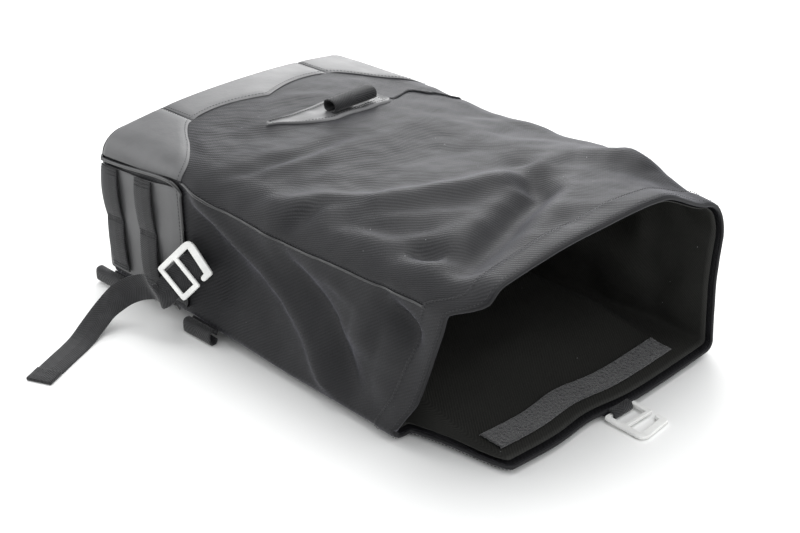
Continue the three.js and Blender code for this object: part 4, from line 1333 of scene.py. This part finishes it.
class PannierMouth(Operator):
    """Loop tape, tan tape and hook tab of the mouth"""

    bl_idname = "pannier.mouth"
    bl_label = "Mouth"

    def execute(self, context):
        self.loop_tape("grip_strip_lower", BACK + 0.1, BACK + 0.88, 9.4)
        self.loop_tape("grip_strip_upper", FRONT + 0.1, FAR_SHOULDER - 0.1, 6.2)
        self.tan_tape()
        self.hook_tab()
        return {"FINISHED"}

    def loop_tape(self, node, first, last, inset):
        def place(u, k):
            reach = body_length() - rim_back(u) - GRIP_SETBACK - GRIP_WIDTH * (1 - k)
            fuzz = noise.noise(Vector((u * 130, k * 14, 2))) * 0.8
            fuzz += noise.noise(Vector((u * 330, k * 40, 5))) * 0.6
            ends = smooth(k / 0.06) * smooth((1 - k) / 0.06)
            return bag_point(along_at(reach, u), u, inset + ends * (1.2 + fuzz))

        weave = round_weave(GRIP_WIDTH * MM)
        us, vs = steps(240, first, last), steps(26)
        tape = sheet(f"{node}_tape", us, vs, place, weave, "loop tape", 1.0, facing="in")
        stand_for(tape, "grip_strip", node)

    def tan_tape(self):
        low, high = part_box("inner_tab")
        x, start = (low[0] - BASE_END) / MM + 2, low[1] / MM
        length = (high[1] - low[1]) / MM
        half = half_width() - SHOULDER

        def place(u, k):
            y = start + length * u
            around = FRONT + clamp((y + half) / (2 * half))
            top = bag_point(along_at(x, around), around, TAPE_UNDER)
            return Vector((x + 1.6 * math.sin(u * 5) * k, y, top.z - TAPE_WIDTH * k))

        def weave(u, k):
            return u * length * MM, k * TAPE_WIDTH * MM

        how = {"edge": 0.3, "facing": "middle"}
        us, vs = steps(30), steps(8)
        tape = sheet("inner_tab_tape", us, vs, place, weave, "tan tape", 1.0, **how)
        stand_for(tape, "tan_patch", "inner_tab")

    def hook_tab(self):
        route = [  # past the bar, height
            (-34, TAB_FLOOR),
            (-4, TAB_FLOOR),
            (2, TAB_FLOOR + 0.1),
            (3.7, 4.6),
            (1.6, 8.4),
            (-3.2, 8.4),
        ]
        line = curve_points([(TAB_BAR + x, TAB_Y, z) for x, z in route], 50)
        width = shape().strip_width / MM - STRAP_SLACK
        tab = ribbon("mouth_hook_tab_webbing", [(p, (0, 1, 0)) for p in line], width, 1.4)
        stand_for(tab, "webbing", "mouth_hook_tab")


# ---------------------------------------------------------------- hooks and rack hardware


def softened(node, body, width):
    """A copy of a moulded or pressed part with its edges rounded."""
    bm = bmesh.new()
    bm.from_mesh(bpy.data.objects[node].data)
    bmesh.ops.remove_doubles(bm, verts=bm.verts, dist=2e-6)
    bmesh.ops.dissolve_limit(bm, angle_limit=math.radians(1), verts=bm.verts, edges=bm.edges)
    piece = object_from(bm, f"{node}_finished", finish("moulded plastic"), smooth_faces=False)
    round_edges(piece, width, 40)
    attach(piece, body)
    stand_for(piece, "plastic", node)


CARRIED = {  # parts that keep the frame's own mesh
    "white metal": ["side_g_hook", "mouth_g_hook"],
    "steel": [
        *(f"{rail}_screw_{side}" for rail in ("upper", "lower") for side in SIDES),
        *(f"latch_pin_{side}" for side in SIDES),
    ],
}
MOULDED = {  # body and width of the rounded edges
    "upper_rail": (BODY, 0.7),
    "lower_rail": (BODY, 0.7),
    "rack_hook_near": ("hook_near", 0.6),
    "rack_hook_far": ("hook_far", 0.6),
    "hook_latch_near": ("latch_near", 0.3),
    "hook_latch_far": ("latch_far", 0.3),
    "anchor_slider": ("anchor_slide_block", 0.7),
    "anchor_hook": ("anchor", 0.7),
}
PULL_X, PULL_REACH, PULL_Z = RAIL_X + 28, 81, 9


class PannierHardware(Operator):
    """White hooks, rails, rack hooks, latches, screws and pull"""

    bl_idname = "pannier.hardware"
    bl_label = "Hardware"

    def execute(self, context):
        for look, nodes in CARRIED.items():
            for node in nodes:
                data = bpy.data.objects[node].data
                data.materials.clear()
                data.materials.append(finish(look))
        for node, (body, width) in MOULDED.items():
            softened(node, body, width)
        half = [(-5, -1), (-1, -0.7), (8, 0)]  # past PULL_X, share of the reach
        route = half + [(x, -y) for x, y in half[1::-1]]
        line = curve_points([(PULL_X + x, PULL_REACH * y, PULL_Z) for x, y in route], 60)
        places = [(p, UP) for p in line]
        pull = ribbon("release_pull_webbing", places, 13.6, 1.4, body="pull")
        stand_for(pull, "webbing", "release_pull")
        return {"FINISHED"}


# ---------------------------------------------------------------- panel and registration

BUILD_ORDER = [
    PannierStageBuild,
    PannierFreeStrap,
    PannierShell,
    PannierBoot,
    PannierWebbing,
    PannierSeams,
    PannierMouth,
    PannierHardware,
]


class PannierPanel(Panel):
    """Lists the bag's sizes, colours and pieces"""

    bl_idname = "VIEW3D_PT_pannier"
    bl_label = "Pannier bag"
    bl_space_type = "VIEW_3D"
    bl_region_type = "UI"
    bl_category = "Pannier"

    def draw(self, context):
        scene = context.scene
        for group in (scene.pannier_shape, scene.pannier_colours, scene.pannier_stage):
            for name in group.bl_rna.properties.keys():
                if name not in ("rna_type", "name"):
                    self.layout.prop(group, name)
        for operator in BUILD_ORDER:
            self.layout.operator(operator.bl_idname)


CLASSES = [PannierShape, PannierColours, PannierStage, *BUILD_ORDER, PannierPanel]


def register():
    for cls in CLASSES:
        bpy.utils.register_class(cls)
    bpy.types.Scene.pannier_shape = PointerProperty(type=PannierShape)
    bpy.types.Scene.pannier_colours = PointerProperty(type=PannierColours)
    bpy.types.Scene.pannier_stage = PointerProperty(type=PannierStage)


def unregister():
    del bpy.types.Scene.pannier_stage
    del bpy.types.Scene.pannier_colours
    del bpy.types.Scene.pannier_shape
    for cls in reversed(CLASSES):
        bpy.utils.unregister_class(cls)


def main():
    register()
    for operator in BUILD_ORDER:
        group, name = operator.bl_idname.split(".")
        getattr(getattr(bpy.ops, group), name)()


if __name__ == "__main__":
    main()
